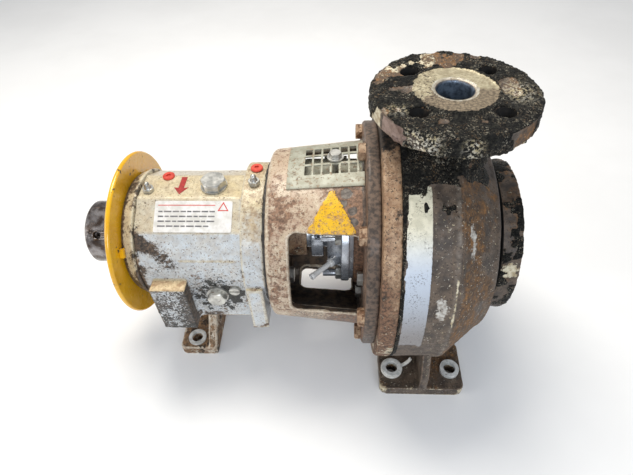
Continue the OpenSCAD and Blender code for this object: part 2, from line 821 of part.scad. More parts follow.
module red_caps() {
    color(red) for (p = cap_spots) translate(p) difference() {
        union() {
            rod_z(-9, 1, 3);
            rod_z(0, 1.4, 6.5);
            translate([0, 0, 1.3]) cylinder(h = 0.8, r1 = 6.5, r2 = 5.7, $fn = 48);
        }
        rod_z(0.6, 4, 2.4);
    }
}

// Facet of the housing that carries the label, from its top edge to its lower edge
label_edge_top = housing_half[0];
label_edge_low = housing_half[1];
label_w = 81;
label_h = 34;
label_t = 0.5;

module label_plate() {
    dy = label_edge_low[0] - label_edge_top[0];
    dz = label_edge_low[1] - label_edge_top[1];
    slope = atan2(-dz, dy);
    mid = (label_edge_top + label_edge_low) / 2;
    color(white) translate([-250.5, -mid[0], shaft_h + mid[1]]) rotate([slope, 0, 0])
        translate([0, 0, 0.02]) linear_extrude(label_t) rounded_square(label_w, label_h, 2);
}

// Triangle stuck on the lantern below the mesh guard
module warning_sticker() {
    sticker_t = 0.4;
    x0 = -134;
    x1 = -81;
    color(yellow) intersection() {
        turned([[x0 - 2, lantern_radius(x0 - 2) + 0.02], [x0 - 2, lantern_radius(x0 - 2) + sticker_t],
            [x1 + 2, lantern_radius(x1 + 2) + sticker_t], [x1 + 2, lantern_radius(x1 + 2) + 0.02]]);
        translate([(x0 + x1) / 2, 0, shaft_h]) rotate([90 - 57.2, 0, 0])
            linear_extrude(140) polygon([[0, 21.5], [-24, -20], [-21, -22], [21, -22], [24, -20]]);
    }
}

module rotation_arrow() {
    tip = -13;
    color(red) translate([-268, 0, shaft_h + housing_top + 0.02]) linear_extrude(0.4)
        polygon([[0, tip], [8, tip + 11], [3, tip + 10], [3, 15], [-3, 15], [-3, tip + 10], [-8, tip + 11]]);
}

// ---------- feet and guard ----------

module support_foot() {
    web_x = [-268, -257];
    seat_z = shaft_h - housing_base;
    color(cream) difference() {
        union() {
            translate([-281.5, 0, 0]) linear_extrude(foot_t) rounded_square(47, 140, 6);
            translate([web_x[0], 0, 0]) rotate([90, 0, 90]) linear_extrude(web_x[1] - web_x[0])
                polygon([[-70, 2], [-70, foot_t], [-41, 45], [-31, seat_z], [31, seat_z], [41, 45],
                    [70, foot_t], [70, 2]]);
            translate([-300, -34, seat_z - 10]) cube([43, 68, 10]);
        }
        for (sy = [-1, 1]) {
            translate([-support_x, sy * support_hole_dy / 2, 0]) rod_z(-over, foot_t + over, foot_hole_r);
            translate([-286, sy * 22, 0]) rod_z(seat_z - 12, seat_z + over, 5 + hole_gap);
        }
    }
}

module support_foot_bolts() {
    seat_z = shaft_h - housing_base - 10;
    color(zinc) for (sy = [-1, 1]) translate([-286, sy * 22, seat_z]) {
        mirror([0, 0, 1]) hex_z(0, 6.4, 16);
        rod_z(-0.5, 24, 5);
    }
}

module foot_collar(h) {
    translate([0, 0, foot_t]) difference() {
        cylinder(h = h, r = 11.5);
        translate([0, 0, -over]) cylinder(h = h + 2 * over, r = foot_hole_r);
    }
}

module foot_collars() {
    color(zinc) {
        for (sx = [-1, 1], sy = [-1, 1])
            translate([sx * foot_hole_dx / 2, sy * foot_hole_dy / 2, 0]) foot_collar(6);
        for (sy = [-1, 1]) translate([-support_x, sy * support_hole_dy / 2, 0]) foot_collar(3);
    }
}

// Cable tie round one foot collar, its tail curling up
module cable_tie() {
    color(white) translate([-foot_hole_dx / 2, -foot_hole_dy / 2, foot_t]) {
        translate([0, 0, 0.5]) difference() {
            cylinder(h = 4, r = 13);
            translate([0, 0, -over]) cylinder(h = 6, r = 11.55);
        }
        translate([12, 4, 2.5]) rotate([90, 0, 20]) translate([0, 12, 0])
            rotate([0, 0, -90]) rotate_extrude(angle = 80) translate([12, 0]) square([1.6, 4], center = true);
    }
}

module guard_plate() {
    rim = 1.6;
    mid = (guard_x[0] + guard_x[1]) / 2;
    color(yellow) difference() {
        turned([[guard_x[0], 30], [guard_x[0], guard_r - rim], [guard_x[0] + rim * 0.4, guard_r - rim * 0.4],
            [mid, guard_r], [guard_x[1] - rim * 0.4, guard_r - rim * 0.4], [guard_x[1], guard_r - rim],
            [guard_x[1], 30]]);
        around_shaft(0, guard_screw_r, 4, 20) rod_x(guard_x[0] - over, guard_x[1] + over, 3 + hole_gap);
    }
}

module guard_plate_screws() {
    color(zinc) around_shaft(guard_x[0], guard_screw_r, 4, 20) socket_screw_x(3, 15, 5, 3.5);
}

module guard_plate_clips() {
    color(yellow) for (a = [27, 147, 267]) at_angle(guard_x[1], 71.5, a)
        rotate([90 - a, 0, 0]) translate([0, -5, -2]) cube([4.5, 10, 4]);
}

// ---------- output ----------

volute_casing();
casing_wear_ring();
casing_cover();
casing_gasket();
casing_drain_plug();
frame_adapter();
adapter_bolts();
cover_screws();
mesh_guard();
mesh_guard_bolt();
mesh_clamp_bar();
seal_gland();
gland_studs();
gland_nuts();
quench_pipe();
seal_stationary_ring();
bearing_housing();
frame_gasket();
frame_bolts();
drive_bearing_cover();
drive_cover_screws();
pump_bearing_cover();
pump_cover_screws();
drive_bearing_outer_races();
pump_bearing_outer_race();
drive_shaft_seal();
pump_shaft_seal();
oil_filler_plug();
oil_side_plug();
oil_level_plug();
grease_nipples();
red_caps();
support_foot();
support_foot_bolts();
foot_collars();
cable_tie();
guard_plate();
guard_plate_screws();
guard_plate_clips();
label_plate();
warning_sticker();
rotation_arrow();
pump_shaft();
coupling_key();
coupling_hub();
hub_set_screw();
shaft_sleeve();
seal_drive_collar();
seal_rotating_ring();
seal_spring();
impeller();
impeller_key();
impeller_nut();
drive_bearing_inner_races();
pump_bearing_inner_race();
bearing_lock_nut();
drive_bearing_balls();
drive_bearing_cages();
pump_bearing_rollers();
pump_bearing_cage();
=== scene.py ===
"""Looks for the end-suction circulation pump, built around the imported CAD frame.

Castings are remeshed copies of the CAD solids with cast grain, crust and paint thickness in the mesh.
Small machined parts keep the CAD mesh, with soft edges. Every surface has a layered node material.
Lengths in the mask functions are millimetres; angles are degrees about the shaft, 0 towards -Y and 90 up.
"""
import json
import math

import bmesh
import bpy
import numpy as np
from mathutils import Matrix, Vector


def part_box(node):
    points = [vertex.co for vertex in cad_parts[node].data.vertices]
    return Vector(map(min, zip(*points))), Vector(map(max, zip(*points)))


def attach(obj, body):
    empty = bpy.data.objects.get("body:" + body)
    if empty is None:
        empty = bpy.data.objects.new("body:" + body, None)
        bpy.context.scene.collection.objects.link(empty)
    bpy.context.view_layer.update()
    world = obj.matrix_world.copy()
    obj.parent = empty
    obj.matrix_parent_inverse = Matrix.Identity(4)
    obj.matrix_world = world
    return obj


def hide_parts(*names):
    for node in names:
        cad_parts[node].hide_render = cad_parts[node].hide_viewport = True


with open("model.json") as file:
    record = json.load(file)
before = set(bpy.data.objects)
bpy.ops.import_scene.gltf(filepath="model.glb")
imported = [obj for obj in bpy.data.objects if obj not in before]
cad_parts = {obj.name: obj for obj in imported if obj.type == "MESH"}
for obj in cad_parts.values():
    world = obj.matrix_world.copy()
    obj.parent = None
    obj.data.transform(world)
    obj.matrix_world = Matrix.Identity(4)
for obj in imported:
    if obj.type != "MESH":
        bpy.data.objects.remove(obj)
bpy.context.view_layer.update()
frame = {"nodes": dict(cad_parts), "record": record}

MM = 0.001
NODES = frame["nodes"]
BODY_OF = {n: b for b, ns in frame["record"]["behaviour"]["bodies"].items() for n in ns}
SLOT_OF = {p["node"]: p["material_slot"] for p in frame["record"]["subparts"]}
COARSE = 1.0

# Castings, in mm
VOXEL_LARGE = 1.5           # voxel sizes of the remeshed copies
VOXEL_COVER = 1.4
VOXEL_SMALL = 1.2
VOXEL_BEAD = 0.9
JOINT_RING = 17             # from the lantern's front to the casing's rim
TURNED_GROOVE = 2.6         # pitch of the grooves on the discharge face

# Lantern cone and the triangle on it, in mm and degrees
LANTERN_WIDE = 104.2        # outside radii
LANTERN_NARROW = 95.0
LANTERN_WIDE_X = -75
LANTERN_LENGTH = 98
TRIANGLE_HEIGHT = 43.0
TRIANGLE_HALF = 24.0
TRIANGLE_MARGIN = 3
TRIANGLE_ANGLE = 57.2       # of its middle, about the shaft

# Label film, in mm
LABEL_THICK = 0.75
LABEL_DROP = 1.4            # down the facet from the CAD plate's place
LABEL_MARGIN = 4
ROW_SHARES = (0.71, 0.74, 0.70, 0.62)
DASH_HEIGHT = 1.5
DASH_GAP = 1.3

# Widths of rounded edges in mm, and pieces that keep sharp ones
DEFAULT_EDGE = 0.3
EDGE_WIDTH = {"guard_plate": 0.8, "coupling_hub": 1.0, "seal_gland": 0.5, "seal_drive_collar": 0.6,
              "mesh_guard": 0.25, "rotation_arrow": 0.1, "cable_tie": 0.2, "red_caps": 0.5}
SHARP = ("seal_spring", "drive_bearing_balls", "pump_bearing_rollers", "impeller")
EDGE_ANGLE = math.radians(35)
WELD = 1e-6                 # metres, between points that are merged

# Studio, in metres, radians and watts
CAMERA_PLACE = (-0.1008, -0.3794, 0.5531)
CAMERA_TURN = (-0.068, 0.814, -0.044)   # yaw, pitch, roll
LENS, SENSOR = 26.84, 36    # mm
LIGHT_AIM = (-0.1, 0, 0.16)
SKY, SKY_STRENGTH = (0.92, 0.95, 1.0, 1), 0.42
FLOOR_HALF = 4.0


def low(node):
    return np.array(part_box(node)[0]) / MM


def high(node):
    return np.array(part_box(node)[1]) / MM


def middle(node):
    return (low(node) + high(node)) / 2


AXIS_Z = middle("coupling_hub")[2]


def add_object(name, data):
    ob = bpy.data.objects.new(name, data)
    bpy.context.scene.collection.objects.link(ob)
    return ob


# ---- noise
HASH_X, HASH_Y, HASH_Z, HASH_MIX = 374761393, 668265263, 2147483629, 1274126177
WORD, HALF_WORD = 0xFFFFFFFF, 0xFFFF


def lattice(i, seed):
    """A repeatable value from 0 to 1 for each whole-number place."""
    h = i[:, 0] * HASH_X + i[:, 1] * HASH_Y + i[:, 2] * HASH_Z + seed * HASH_MIX
    h = h & WORD
    h = ((h ^ (h >> 13)) * HASH_MIX) & WORD
    return ((h ^ (h >> 16)) & HALF_WORD) / HALF_WORD


def value_noise(q, seed):
    i = np.floor(q).astype(np.int64)
    f = q - i
    f = f * f * (3 - 2 * f)
    total = np.zeros(len(q))
    for corner in np.ndindex(2, 2, 2):
        c = np.array(corner)
        w = np.prod(np.where(c == 1, f, 1 - f), axis=1)
        total += w * lattice(i + c, seed)
    return total


def fbm(p, size, octaves, seed):
    """Layered value noise from 0 to 1, with features of the given size in mm."""
    total, amp, norm = np.zeros(len(p)), 1.0, 0.0
    q = p / size
    for k in range(octaves):
        total += amp * value_noise(q + 17.3 * k, seed + k)
        norm += amp
        amp *= 0.5
        q = q * 2.03
    return np.clip((total / norm - 0.5) * 1.5 + 0.5, 0, 1)


def cells(p, size, seed):
    """Distance to the nearest scattered point, in cell sizes."""
    q = p / size
    i = np.floor(q).astype(np.int64)
    best = np.full(len(p), 9.0)
    for corner in np.ndindex(3, 3, 3):
        c = i + np.array(corner) - 1
        point = c + np.stack([lattice(c, seed + k) for k in range(3)], axis=1)
        best = np.minimum(best, np.linalg.norm(q - point, axis=1))
    return best


def ease(x, lo, hi):
    """0 up to lo, rising smoothly to 1 at hi."""
    t = np.clip((x - lo) / (hi - lo), 0, 1)
    return t * t * (3 - 2 * t)


def fade(x, lo, hi):
    return 1 - ease(x, lo, hi)


def between(x, lo, hi, soft):
    return ease(x, lo - soft, lo + soft) * fade(x, hi - soft, hi + soft)


def blob(p, centre, size):
    """1 at a spot's centre, falling to 0 at the given size."""
    return fade(np.linalg.norm((p - np.array(centre)) / np.array(size), axis=1), 0.0, 1.0)


# ---- remeshed castings
class Cast:
    """A remeshed copy of a CAD casting, with its points, normals and curvature ready for masks."""

    def __init__(self, name, node, voxel, smooth):
        mesh = NODES[node].data.copy()
        bm = bmesh.new()
        bm.from_mesh(mesh)
        bmesh.ops.remove_doubles(bm, verts=bm.verts, dist=WELD)
        bm.to_mesh(mesh)
        bm.free()
        ob = add_object(name, mesh)
        remesh = ob.modifiers.new("voxel", "REMESH")
        remesh.mode = "VOXEL"
        remesh.voxel_size = voxel * COARSE * MM
        soften = ob.modifiers.new("soften", "SMOOTH")
        soften.factor = 0.5
        soften.iterations = smooth
        graph = bpy.context.evaluated_depsgraph_get()
        done = bpy.data.meshes.new_from_object(ob.evaluated_get(graph))
        ob.modifiers.clear()
        ob.data = done
        done.name = name
        done.materials.clear()
        done.polygons.foreach_set("use_smooth", [True] * len(done.polygons))
        self.ob, self.mesh, self.node = ob, done, node
        self.read()

    def read(self):
        n = len(self.mesh.vertices)
        co = np.empty(n * 3, np.float32)
        self.mesh.vertices.foreach_get("co", co)
        nor = np.empty(n * 3, np.float32)
        self.mesh.vertex_normals.foreach_get("vector", nor)
        self.p = co.reshape(-1, 3).astype(float) / MM
        self.n = nor.reshape(-1, 3).astype(float)
        self.x, self.y, self.z = self.p.T
        self.nx, self.ny, self.nz = self.n.T
        self.r = np.hypot(self.y, self.z - AXIS_Z)
        self.a = np.degrees(np.arctan2(self.z - AXIS_Z, -self.y))
        self.outward = (self.ny * self.y + self.nz * (self.z - AXIS_Z)) / np.maximum(self.r, 1)

    def average(self, values, rounds):
        """Values spread over neighbouring points."""
        edges = np.empty(len(self.mesh.edges) * 2, np.int32)
        self.mesh.edges.foreach_get("vertices", edges)
        e0, e1 = edges.reshape(-1, 2).T
        count = np.bincount(edges, minlength=len(values)).astype(float)
        for _ in range(rounds):
            total = np.bincount(e0, values[e1], len(values))
            total += np.bincount(e1, values[e0], len(values))
            values = total / np.maximum(count, 1)
        return values

    def relief(self, rounds):
        """Positive on outside edges, negative in corners, in mm."""
        flat = np.stack([self.average(self.p[:, k], rounds) for k in range(3)], axis=1)
        return np.sum((self.p - flat) * self.n, axis=1)

    def push(self, height):
        """Moves the surface along its normals, in mm, and leaves the seat on the base plane flat."""
        height = height * ease(self.z, 0.2, 2.5)
        moved = (self.p + self.n * height[:, None]) * MM
        self.mesh.vertices.foreach_set("co", moved.astype(np.float32).ravel())
        self.mesh.update()

    def mask(self, **masks):
        for name, values in masks.items():
            layer = self.mesh.attributes.new(name, "FLOAT", "POINT")
            layer.data.foreach_set("value", np.clip(values, 0, 1).astype(np.float32))

    def done(self, material):
        self.mesh.materials.append(material)
        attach(self.ob, BODY_OF[self.node])
        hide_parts(self.node)


# ---- layered materials
class Paint:
    """A node material made of layers. Sizes are in mm, and each noise gets a place of its own."""

    def __init__(self, name):
        self.material = bpy.data.materials.new(name)
        self.material.use_nodes = True
        self.tree = self.material.node_tree
        self.tree.nodes.clear()
        self.bsdf = self.node("ShaderNodeBsdfPrincipled")
        self.node("ShaderNodeOutputMaterial", Surface=self.bsdf.outputs[0])
        self.coord = self.node("ShaderNodeTexCoord").outputs["Object"]
        self.seed = sum(map(ord, name)) % 97
        self.colour, self.rough, self.metal, self.height = None, None, None, 0.0

    def node(self, kind, **inputs):
        """A new node; a name in inputs has _ where the node's own name has a space."""
        n = self.tree.nodes.new(kind)
        for name, value in inputs.items():
            self.put(value, n.inputs[name.replace("_", " ")])
        return n

    def put(self, value, socket):
        if isinstance(value, bpy.types.NodeSocket):
            self.tree.links.new(value, socket)
        elif isinstance(value, tuple):
            socket.default_value = (*value, 1.0)[: len(socket.default_value)]
        else:
            socket.default_value = value

    def math(self, op, a, b):
        n = self.node("ShaderNodeMath")
        n.operation = op
        self.put(a, n.inputs[0])
        self.put(b, n.inputs[1])
        return n.outputs[0]

    def both(self, a, b):
        """The product, which is where both masks are."""
        return self.math("MULTIPLY", a, b)

    def attr(self, name):
        n = self.node("ShaderNodeAttribute")
        n.attribute_name = name
        return n.outputs["Fac"]

    def place(self, stretch=(1, 1, 1)):
        self.seed += 1
        spot = (self.seed * 1.7, self.seed * -0.9, self.seed * 0.6)
        return self.node("ShaderNodeMapping", Vector=self.coord, Location=spot, Scale=stretch).outputs[0]

    def noise(self, size, detail=4.0, rough=0.6, stretch=(1, 1, 1)):
        place, scale = self.place(stretch), 1 / (size * MM)
        n = self.node("ShaderNodeTexNoise", Vector=place, Scale=scale, Detail=detail, Roughness=rough)
        return n.outputs["Fac"]

    def dots(self, size):
        n = self.node("ShaderNodeTexVoronoi", Vector=self.place(), Scale=1 / (size * MM))
        return n.outputs["Distance"]

    def step(self, x, lo, hi):
        n = self.node("ShaderNodeMapRange", Value=x, From_Min=lo, From_Max=hi)
        n.interpolation_type = "SMOOTHSTEP"
        return n.outputs["Result"]

    def mix(self, fac, a, b, kind="RGBA", first=6, out=2):
        n = self.node("ShaderNodeMix")
        n.data_type = kind
        self.put(fac, n.inputs[0])
        self.put(a, n.inputs[first])
        self.put(b, n.inputs[first + 1])
        return n.outputs[out]

    def mixf(self, fac, a, b):
        """The same as mix, for plain numbers."""
        return self.mix(fac, a, b, "FLOAT", 2, 0)

    def vary(self, size, dark, light, lo=0.35, hi=0.65):
        """A colour that drifts between two others."""
        return self.mix(self.step(self.noise(size), lo, hi), dark, light)

    def spots(self, size, lo, hi, detail=6.0, rough=0.7):
        return self.step(self.noise(size, detail, rough), lo, hi)

    def level(self, name, lo, hi):
        """One of the mesh's masks, sharpened."""
        return self.step(self.attr(name), lo, hi)

    def torn(self, name, size, amount, soft, at=0.5):
        """One of the mesh's masks, with a ragged edge."""
        mask = self.attr(name)
        rag = self.both(self.math("SUBTRACT", self.noise(size, 6.0, 0.7), 0.5), amount * 2)
        return self.step(self.math("ADD", mask, rag), at - soft, at + soft)

    def base(self, colour, rough, metal=0.0):
        self.colour, self.rough, self.metal = colour, rough, metal

    def layer(self, mask, colour, rough, metal=0.0, height=0.0):
        """Lays a colour, roughness, metal and bump height over the rest, where the mask is."""
        self.colour = self.mix(mask, self.colour, colour)
        self.rough = self.mixf(mask, self.rough, rough)
        self.metal = self.mixf(mask, self.metal, metal)
        self.raise_by(mask, height)

    def raise_by(self, mask, height):
        """Adds bump height, in mm."""
        if height:
            self.height = self.math("ADD", self.height, self.both(mask, height))

    def finish(self, bump=1.0, coat=0.0, coat_rough=0.15):
        """Connects the layers to the shader."""
        layers = {"Base Color": self.colour, "Roughness": self.rough, "Metallic": self.metal,
                  "Coat Weight": coat, "Coat Roughness": coat_rough}
        if isinstance(self.height, bpy.types.NodeSocket):
            relief = self.node("ShaderNodeBump", Strength=bump, Distance=MM, Height=self.height)
            layers["Normal"] = relief.outputs[0]
        for name, value in layers.items():
            self.put(value, self.bsdf.inputs[name])
        return self.material


# ---- colours
CREAM = (0.60, 0.50, 0.29)
CREAM_PALE = (0.70, 0.64, 0.48)
# CREAM_GREY and CREAM_COOL are the housing's cream under painted light, on its slopes and on its sides
CREAM_GREY = (0.50, 0.48, 0.42)
CREAM_COOL = (0.53, 0.58, 0.62)
RUST_ORANGE = (0.27, 0.115, 0.035)
RUST_BROWN = (0.11, 0.055, 0.026)
RUST_PINK = (0.36, 0.22, 0.15)
SCALE_DARK = (0.048, 0.035, 0.027)
TAR = (0.006, 0.006, 0.006)
TAR_GREY = (0.040, 0.038, 0.030)
DIRT = (0.075, 0.052, 0.034)
WHITE_DUST = (0.60, 0.58, 0.53)


# ---- look of the volute casing
def casing_look():
    s = Paint("casing_iron")
    iron = s.vary(14, (0.047, 0.034, 0.025), (0.128, 0.092, 0.065))
    s.base(iron, s.mixf(s.noise(9), 0.38, 0.62))
    s.raise_by(s.noise(2.2, 6.0, 0.7), 0.35)
    rust_on_casing(s)
    paint_on_casing(s)
    tar_on_casing(s)
    machined_faces(s)
    s.layer(s.level("edge", 0.5, 0.9), s.vary(5, (0.10, 0.065, 0.04), (0.24, 0.16, 0.11)), 0.55)
    # Near black: painted shade behind the suction flange and in the bolt holes
    s.layer(s.level("gap", 0.3, 0.7), s.vary(5, (0.004, 0.004, 0.004), (0.015, 0.012, 0.010)), 0.8)
    return s.finish(0.9)


def rust_on_casing(s):
    """Orange rust with dark streaks and bright spots, mill scale, a painted highlight along the ridge and
    pale scuffs.
    """
    rust = s.torn("rust", 9, 0.45, 0.16)
    s.layer(rust, s.vary(5, (0.085, 0.050, 0.026), (0.26, 0.125, 0.042), 0.35, 0.7), 0.8, height=0.15)
    streaks = s.step(s.noise(9, 6.0, 0.7, (2.2, 1, 1)), 0.47, 0.60)
    s.layer(s.both(rust, streaks), s.vary(3, (0.028, 0.018, 0.012), (0.115, 0.065, 0.034)), 0.62)
    s.layer(s.both(rust, s.spots(11, 0.60, 0.68, 6.0, 0.72)), (0.34, 0.17, 0.06), 0.8)
    s.layer(s.spots(1.8, 0.56, 0.63, 4.0, 0.6), s.vary(5, (0.03, 0.02, 0.014), SCALE_DARK), 0.6)
    # A painted highlight along the ridge, lighter and glossy
    s.layer(s.both(s.attr("ridge"), s.spots(6, 0.35, 0.75, 5.0)), (0.20, 0.165, 0.13), 0.35)
    s.layer(s.torn("scuff", 3, 0.55, 0.08), s.vary(3, (0.30, 0.26, 0.22), WHITE_DUST), 0.65, height=0.1)


def paint_on_casing(s):
    """A band that is grey at its lower end, then bluish, then cream at the top, which is painted light:
    shade below, a blue sky reflection in the middle and warm light on top; and flakes and specks.
    """
    cream = s.vary(9, (0.58, 0.55, 0.42), (0.74, 0.70, 0.55))
    cool = s.mix(s.level("tone", 0.52, 0.80), (0.56, 0.62, 0.71), cream)
    tone = s.mix(s.level("tone", 0.06, 0.56), (0.23, 0.215, 0.21), cool)
    band = s.torn("band", 3.5, 0.35, 0.03)
    pepper = s.both(s.spots(1.6, 0.55, 0.59, 5.0), s.spots(13, 0.40, 0.62, 4.0, 0.6))
    s.layer(band, s.mix(s.both(pepper, 0.75), tone, (0.055, 0.040, 0.028)), 0.24, height=0.5)
    s.layer(s.torn("flake", 3, 0.6, 0.05), s.vary(4, (0.42, 0.33, 0.20), CREAM_PALE), 0.6, height=0.3)
    specks = s.both(s.spots(2.0, 0.64, 0.67, 3.0, 0.6), s.attr("speck"))
    s.layer(specks, s.vary(8, CREAM, WHITE_DUST), 0.75, height=0.1)


def tar_on_casing(s):
    """Burnt oil, black and lumpy, with pale crumbs in it and remains of paint beside it."""
    tar = s.torn("crust", 3.0, 0.4, 0.06)
    s.layer(tar, s.vary(2.5, TAR, TAR_GREY, 0.42, 0.75), s.mixf(s.noise(2.5), 0.22, 0.8))
    s.raise_by(s.both(tar, s.noise(3.2, 4.0, 0.65)), 5.0)
    s.put(s.mixf(tar, 0.5, 0.16), s.bsdf.inputs["Specular IOR Level"])
    crumbs = s.both(tar, s.spots(1.5, 0.55, 0.60, 3.0))
    crumbs = s.both(crumbs, s.spots(12, 0.42, 0.60, 4.0, 0.65))
    s.layer(s.both(crumbs, 0.85), s.vary(6, (0.17, 0.11, 0.06), (0.42, 0.39, 0.31)), 0.8)
    lace = s.both(s.attr("lace"), s.spots(2.6, 0.50, 0.55, 5.0))
    s.layer(lace, s.vary(6, CREAM, (0.72, 0.68, 0.58)), 0.6, height=0.3)
    rim = s.torn("rim", 3, 0.25, 0.04)
    s.layer(rim, s.vary(6, (0.20, 0.135, 0.11), (0.32, 0.23, 0.195)), 0.45, height=0.4)


def machined_faces(s):
    """The two sealing faces with their turned grooves, stains and pits, the bright lip and the bores."""
    grooves = s.both(s.attr("ring"), s.spots(3, 0.3, 0.7, 4.0, 0.6))
    clean = s.mix(grooves, s.vary(7, (0.40, 0.35, 0.23), (0.60, 0.54, 0.37)), (0.27, 0.20, 0.12))
    dull = s.vary(2.5, (0.12, 0.092, 0.060), (0.33, 0.26, 0.175))
    face = s.mix(s.torn("stain", 6, 0.5, 0.25), clean, dull)
    pits = s.both(s.spots(2.4, 0.55, 0.59, 5.0), s.attr("pitted"))
    face = s.mix(pits, face, (0.05, 0.03, 0.02))
    s.layer(s.level("machined", 0.35, 0.65), face, 0.38, 0.35)
    s.layer(s.level("lip", 0.4, 0.6), s.vary(5, (0.45, 0.40, 0.30), (0.70, 0.66, 0.56)), 0.3, 0.5)
    # Dark metal in the bores, tinted blue as a painted sky reflection
    s.layer(s.level("bore", 0.4, 0.6), s.vary(8, (0.07, 0.09, 0.12), (0.22, 0.28, 0.36)), 0.3, 0.6)


# ---- looks of the other painted castings
def ring_look():
    s = Paint("cover_paint")
    blotches = s.spots(4, 0.38, 0.62, 5.0)
    brown = s.vary(16, (0.22, 0.125, 0.065), (0.34, 0.20, 0.11))
    paint = s.mix(blotches, brown, s.vary(18, (0.34, 0.215, 0.125), (0.47, 0.32, 0.20)))
    s.base(paint, s.mixf(s.noise(7), 0.42, 0.65))
    s.raise_by(s.noise(2.5, 6.0, 0.7), 0.3)
    rust = s.torn("rust", 8, 0.55, 0.22)
    s.layer(rust, s.vary(2.5, (0.065, 0.036, 0.022), (0.24, 0.125, 0.07)), 0.75, height=-0.1)
    s.layer(s.spots(2.0, 0.575, 0.62, 4.0, 0.65), s.vary(4, (0.04, 0.026, 0.018), DIRT), 0.65)
    s.layer(s.torn("flake", 3, 0.6, 0.05), s.vary(5, (0.45, 0.36, 0.23), CREAM_PALE), 0.5, height=0.25)
    s.layer(s.torn("crust", 3.5, 0.4, 0.06), s.vary(3, TAR, DIRT), 0.6, height=0.5)
    return s.finish(0.8)


def lantern_look():
    s = Paint("lantern_paint")
    paint = s.vary(26, (0.50, 0.39, 0.27), (0.66, 0.57, 0.42), 0.3, 0.7)
    s.base(paint, s.mixf(s.noise(12), 0.32, 0.5))
    s.raise_by(s.noise(3, 4.0, 0.6), 0.10)
    stain = s.both(s.attr("rust"), s.spots(8, 0.32, 0.62, 6.0, 0.72))
    s.layer(stain, s.vary(5, RUST_PINK, (0.46, 0.33, 0.24)), 0.55)
    rust = s.torn("rust", 6, 0.6, 0.07, 0.78)
    s.layer(rust, s.vary(3, (0.12, 0.07, 0.045), (0.30, 0.175, 0.11)), 0.75, height=-0.12)
    s.layer(s.spots(1.6, 0.585, 0.62, 4.0, 0.65), s.vary(5, (0.09, 0.055, 0.035), (0.28, 0.17, 0.11)), 0.7)
    blotches = s.both(s.spots(7, 0.56, 0.63, 6.0, 0.72), 0.8)
    s.layer(blotches, s.vary(3, (0.17, 0.085, 0.045), (0.40, 0.24, 0.14)), 0.75, height=-0.1)
    s.layer(s.step(s.dots(9), 0.13, 0.07), s.vary(3, RUST_BROWN, RUST_ORANGE), 0.8)
    bare = s.torn("bare", 3, 0.2, 0.05)
    s.layer(bare, s.vary(4, (0.07, 0.055, 0.045), (0.17, 0.14, 0.115)), 0.5, height=-0.3)
    # Dark brown to nearly black on the lantern's inner faces: painted shade
    s.layer(s.torn("inside", 6, 0.3, 0.10), s.vary(8, (0.018, 0.012, 0.009), (0.10, 0.065, 0.04)), 0.7)
    # Darker on the outside at the flange by the casing, next to it, and in hollows
    s.layer(s.torn("grime", 4, 0.55, 0.10), s.vary(4, (0.045, 0.032, 0.024), (0.15, 0.10, 0.07)), 0.65)
    grit = s.both(s.attr("speckle"), s.spots(2.5, 0.46, 0.56, 6.0, 0.72))
    s.layer(s.both(grit, 0.85), s.vary(2, (0.07, 0.06, 0.055), (0.24, 0.22, 0.20)), 0.7)
    worn = s.both(s.level("edge", 0.45, 0.9), 0.75)
    s.layer(worn, s.vary(3, (0.42, 0.32, 0.22), (0.68, 0.61, 0.48)), 0.45)
    return s.finish(0.8, 0.15)


def housing_look():
    """Cream on top, greyer on the slopes and cool on the sides, which is painted light: warm light from
    above, less light on the slopes and blue sky light on the sides; under dust, chips, darkening and
    pepper.
    """
    s = Paint("housing_paint")
    # warm, mid and cool are one cream paint under painted light: warm light on top, less on the slopes,
    # blue sky light on the sides
    warm = s.vary(24, CREAM, (0.68, 0.61, 0.43), 0.3, 0.7)
    mid = s.vary(20, CREAM_GREY, (0.60, 0.57, 0.48), 0.3, 0.7)
    cool = s.vary(22, CREAM_COOL, (0.63, 0.66, 0.67), 0.3, 0.7)
    slopes = s.mix(s.level("top", 0.15, 0.55), cool, mid)
    s.base(s.mix(s.level("top", 0.80, 0.97), slopes, warm), s.mixf(s.noise(12), 0.26, 0.44))
    s.raise_by(s.noise(4, 4.0, 0.6), 0.10)
    film = s.both(s.attr("dust"), s.spots(7, 0.32, 0.62, 6.0, 0.72))
    s.layer(film, s.vary(5, (0.28, 0.19, 0.11), (0.48, 0.37, 0.23)), 0.6)
    # Paler along raised edges and the facet edge: a painted highlight
    s.layer(s.both(s.level("ridge", 0.3, 0.8), 0.6), s.vary(5, (0.44, 0.35, 0.22), CREAM_PALE), 0.4)
    s.layer(s.spots(1.7, 0.605, 0.635, 4.0, 0.65), s.vary(6, (0.06, 0.04, 0.025), (0.26, 0.16, 0.09)), 0.7)
    s.layer(s.step(s.dots(11), 0.075, 0.04), s.vary(3, RUST_BROWN, RUST_ORANGE), 0.8)
    chip = s.torn("chip", 4, 0.5, 0.05)
    s.layer(chip, s.vary(4, (0.10, 0.06, 0.035), (0.30, 0.19, 0.115)), 0.75, height=-0.25)
    grime = s.torn("grime", 3.5, 0.65, 0.10)
    s.layer(grime, s.vary(3, (0.025, 0.020, 0.016), (0.15, 0.10, 0.065)), 0.6, height=0.15)
    s.layer(s.torn("ledge", 4, 0.3, 0.1), s.vary(6, (0.36, 0.23, 0.12), (0.66, 0.52, 0.31)), 0.6)
    dense = s.math("ADD", s.noise(2.4, 6.0, 0.75), s.both(s.attr("pepper"), 0.22))
    pepper = s.step(dense, 0.61, 0.65)
    s.layer(pepper, s.vary(4, (0.012, 0.010, 0.010), (0.085, 0.065, 0.05)), 0.5, height=0.2)
    s.layer(s.torn("splat", 2.6, 0.65, 0.04), s.vary(3, TAR, TAR_GREY), 0.45, height=0.35)
    return s.finish(0.8, 0.2)


